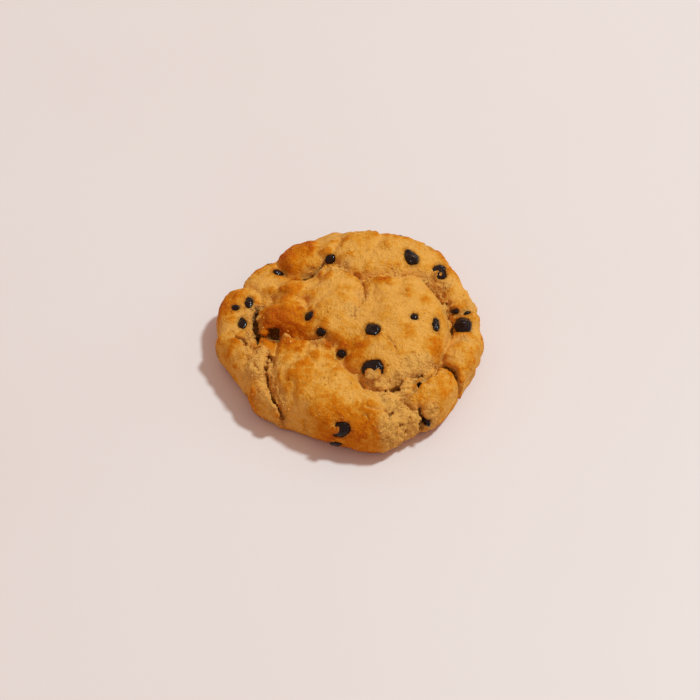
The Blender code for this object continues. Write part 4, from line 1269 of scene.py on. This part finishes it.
class Growth:
    """A Geometry Nodes tree under construction."""

    def __init__(self, name, **inputs):
        self.tree = bpy.data.node_groups.new(name, "GeometryNodeTree")
        self.tree.interface.new_socket("Geometry", in_out="INPUT", socket_type="NodeSocketGeometry")
        self.tree.interface.new_socket("Geometry", in_out="OUTPUT", socket_type="NodeSocketGeometry")
        kinds = {float: "NodeSocketFloat", int: "NodeSocketInt"}
        self.values = {}
        for label, value in inputs.items():
            kind = kinds.get(type(value), "NodeSocketMaterial")
            socket = self.tree.interface.new_socket(label, in_out="INPUT", socket_type=kind)
            self.values[socket.identifier] = value
        self.start = self.tree.nodes.new("NodeGroupInput")

    def given(self, name):
        """One of the tree's own inputs."""
        return self.start.outputs[name]

    def node(self, kind, settings=None, inputs=None, output=0):
        """Adds a node and returns one of its outputs."""
        return add_node(self.tree, kind, settings, inputs, output)

    def maths(self, operation, first, second):
        """Adds a Math node."""
        return self.node("ShaderNodeMath", {"operation": operation}, {0: first, 1: second})

    def drawn(self, least, most):
        """A vector drawn at random for each copy."""
        sockets = {"Min": least, "Max": most, "Seed": self.given("Seed")}
        return self.node("FunctionNodeRandomValue", {"data_type": "FLOAT_VECTOR"}, sockets, "Value")

    def scatter(self, shape, where):
        """Ends the tree: copies of a shape over the crust, made real and given their material."""
        density = self.maths("MULTIPLY", where, self.given("Density"))
        points = self.node(
            "GeometryNodeDistributePointsOnFaces", {"distribute_method": "RANDOM"},
            {"Mesh": self.given("Geometry"), "Density": density, "Seed": self.given("Seed")}, "Points",
        )
        turn = self.drawn((0.0, 0.0, 0.0), MOST_TURN)
        size = self.drawn(LEAST_SIZE, MOST_SIZE)
        copies = self.node(
            "GeometryNodeInstanceOnPoints", None,
            {"Points": points, "Instance": shape, "Rotation": turn, "Scale": size}, "Instances",
        )
        real = self.node("GeometryNodeRealizeInstances", None, {"Geometry": copies})
        dressed = {"Geometry": real, "Material": self.given("Material")}
        done = self.node("GeometryNodeSetMaterial", None, dressed)
        end = self.tree.nodes.new("NodeGroupOutput")
        self.tree.links.new(done, end.inputs["Geometry"])

    def grown(self, name, mesh):
        """The plain mesh that the tree makes of another mesh."""
        host = bpy.data.objects.new(name, mesh)
        bpy.context.scene.collection.objects.link(host)
        grower = host.modifiers.new(name, "NODES")
        grower.node_group = self.tree
        for identifier, value in self.values.items():
            grower[identifier] = value
        graph = bpy.context.evaluated_depsgraph_get()
        made = bpy.data.meshes.new_from_object(host.evaluated_get(graph))
        bpy.data.objects.remove(host)
        made.name = name
        return made


def grow_on_crust(name, finish, size, per_cm2, seed, shape, where):
    """A piece made of copies of a shape. Functions build the nodes for the shape and for where it grows."""
    tree = Growth(name, Size=size, Density=per_cm2 * CM2_PER_M2, Seed=seed, Material=finish)
    tree.scatter(shape(tree), where(tree))
    add_piece(name, tree.grown(name, bpy.data.objects["dough_crust"].data), finish, "baked_dough")


def crumb_shape(tree):
    """An uneven ball."""
    size = tree.given("Size")
    sockets = {"Radius": size, "Subdivisions": CRUMB_SUBDIVISIONS}
    ball = tree.node("GeometryNodeMeshIcoSphere", None, sockets, "Mesh")
    place = tree.node("GeometryNodeInputPosition")
    noise = tree.node("ShaderNodeTexNoise", None, {"Vector": place, "Scale": CRUMB_NOISE_SCALE}, "Color")
    shift = tree.node("ShaderNodeVectorMath", {"operation": "SUBTRACT"}, {0: noise, 1: (0.5, 0.5, 0.5)})
    scaled = tree.node("ShaderNodeVectorMath", {"operation": "SCALE"}, {0: shift, "Scale": size})
    return tree.node("GeometryNodeSetPosition", None, {"Geometry": ball, "Offset": scaled})


def broken_crust(tree):
    """How far the crust is broken open."""
    kept = {"data_type": "FLOAT"}
    return tree.node("GeometryNodeInputNamedAttribute", kept, {"Name": "broken"}, "Attribute")


def grain_shape(tree):
    """A cube."""
    side = tree.node("ShaderNodeCombineXYZ", None, {axis: tree.given("Size") for axis in range(3)})
    return tree.node("GeometryNodeMeshCube", None, {"Size": side}, "Mesh")


def upper_crust(tree):
    """1 on the crust well above the table, and 0 below."""
    place = tree.node("GeometryNodeInputPosition")
    height = tree.node("ShaderNodeSeparateXYZ", None, {"Vector": place}, "Z")
    return tree.maths("GREATER_THAN", height, SUGAR_ABOVE)


class COOKIE_OT_crumbs(Operator):
    """Scatters loose crumbs where the crust is broken"""

    bl_idname = "cookie.crumbs"
    bl_label = "Crumbs"

    def execute(self, context):
        sizes = context.scene.cookie_sizes
        finish = crumb_finish(context.scene.cookie_colours)
        measures = sizes.crumb_size, sizes.crumbs_per_cm2, sizes.seed
        grow_on_crust("crumbs", finish, *measures, crumb_shape, broken_crust)
        return {"FINISHED"}


class COOKIE_OT_sugar(Operator):
    """Scatters half-melted sugar grains over the crust"""

    bl_idname = "cookie.sugar"
    bl_label = "Sugar Grains"

    def execute(self, context):
        sizes = context.scene.cookie_sizes
        measures = sizes.grain_size, sizes.grains_per_cm2, sizes.seed + 1
        grow_on_crust("sugar_grains", sugar_finish(), *measures, grain_shape, upper_crust)
        return {"FINISHED"}


# The camera looks along +Y and down at a point above the middle of the folds, which the photograph shows a
# little off its own middle. The sensor's width is in millimetres, the point's height in metres.
PHOTO_PIXELS = 700
FOCAL_PIXELS = 1897
SENSOR_WIDTH = 36
AIM_HEIGHT = 0.012
AIM_RIGHT_PIXELS = -1
AIM_UP_PIXELS = 9

# The key light stands to the right and a little behind; angles in degrees, sizes in metres.
KEY_AZIMUTH = 72
KEY_ELEVATION = 60
KEY_DISTANCE = 3.0
KEY_SIZE = 0.36
KEY_WATTS = 71
KEY_COLOUR = (0.74, 0.92, 1.0)
SKY_COLOUR = (0.515, 0.385, 0.34, 1.0)
TABLE_SIZE = 6.0


def add_key_light():
    """A round light that faces the cookie. Its azimuth is in degrees from +Y towards +X."""
    data = bpy.data.lights.new("key", "AREA")
    data.shape = "DISK"
    data.size = KEY_SIZE
    data.energy = KEY_WATTS
    data.color = KEY_COLOUR
    light = bpy.data.objects.new("key", data)
    bpy.context.scene.collection.objects.link(light)
    turn, rise = math.radians(KEY_AZIMUTH), math.radians(KEY_ELEVATION)
    away = Vector((math.sin(turn) * math.cos(rise), math.cos(turn) * math.cos(rise), math.sin(rise)))
    light.location = away * KEY_DISTANCE
    light.rotation_mode = "QUATERNION"
    light.rotation_quaternion = away.to_track_quat("Z", "Y")


def add_table(colours):
    """The plain table, which is no part of the object."""
    mesh = bpy.data.meshes.new("table")
    half = TABLE_SIZE / 2
    corners = [(-half, -half, 0), (half, -half, 0), (half, half, 0), (-half, half, 0)]
    mesh.from_pydata(corners, [], [(0, 1, 2, 3)])
    mesh.materials.append(table_finish(colours))
    table = bpy.data.objects.new("table", mesh)
    bpy.context.scene.collection.objects.link(table)


def add_camera(scene, distance, rise):
    """The camera, which looks from the front and above."""
    data = bpy.data.cameras.new("camera")
    data.sensor_width = SENSOR_WIDTH
    data.lens = FOCAL_PIXELS / PHOTO_PIXELS * SENSOR_WIDTH
    data.shift_x = -AIM_RIGHT_PIXELS / PHOTO_PIXELS
    data.shift_y = -AIM_UP_PIXELS / PHOTO_PIXELS
    camera = bpy.data.objects.new("camera", data)
    scene.collection.objects.link(camera)
    back = Vector((0, -math.cos(rise), math.sin(rise)))
    aim = Vector((-MIDDLE_X * MM, -MIDDLE_Y * MM, AIM_HEIGHT))
    camera.location = aim + back * distance
    camera.rotation_mode = "QUATERNION"
    camera.rotation_quaternion = back.to_track_quat("Z", "Y")
    scene.camera = camera


def add_sky(scene):
    """Soft light from all sides."""
    world = bpy.data.worlds.new("studio")
    world.use_nodes = True
    sky = world.node_tree.nodes["Background"]
    sky.inputs["Color"].default_value = SKY_COLOUR
    sky.inputs["Strength"].default_value = 1.0
    scene.world = world
    scene.view_settings.view_transform = "Standard"


class COOKIE_OT_stage(Operator):
    """Sets up the camera, the light, the sky and the plain table"""

    bl_idname = "cookie.stage"
    bl_label = "Stage"

    def execute(self, context):
        scene, sizes = context.scene, context.scene.cookie_sizes
        add_camera(scene, sizes.camera_distance, sizes.camera_elevation)
        add_table(scene.cookie_colours)
        add_key_light()
        add_sky(scene)
        return {"FINISHED"}


STEPS = (COOKIE_OT_dough, COOKIE_OT_chips, COOKIE_OT_crumbs, COOKIE_OT_sugar, COOKIE_OT_stage)


class COOKIE_PT_panel(Panel):
    """Lists the steps that build the cookie"""

    bl_idname = "COOKIE_PT_panel"
    bl_label = "Chocolate Chip Cookie"
    bl_space_type = "VIEW_3D"
    bl_region_type = "UI"
    bl_category = "Cookie"

    def draw(self, context):
        for step in STEPS:
            self.layout.operator(step.bl_idname)
        for group in (context.scene.cookie_sizes, context.scene.cookie_colours):
            for name in group.__annotations__:
                self.layout.prop(group, name)


CLASSES = (CookieSizes, CookieColours, *STEPS, COOKIE_PT_panel)


def register():
    """Adds the cookie's settings, steps and panel to Blender."""
    for each in CLASSES:
        bpy.utils.register_class(each)
    bpy.types.Scene.cookie_sizes = PointerProperty(type=CookieSizes)
    bpy.types.Scene.cookie_colours = PointerProperty(type=CookieColours)


def unregister():
    """Takes them away again."""
    del bpy.types.Scene.cookie_colours
    del bpy.types.Scene.cookie_sizes
    for each in reversed(CLASSES):
        bpy.utils.unregister_class(each)


def main():
    """Builds the cookie step by step."""
    register()
    for step in STEPS:
        area, name = step.bl_idname.split(".")
        getattr(getattr(bpy.ops, area), name)()


if __name__ == "__main__":
    main()
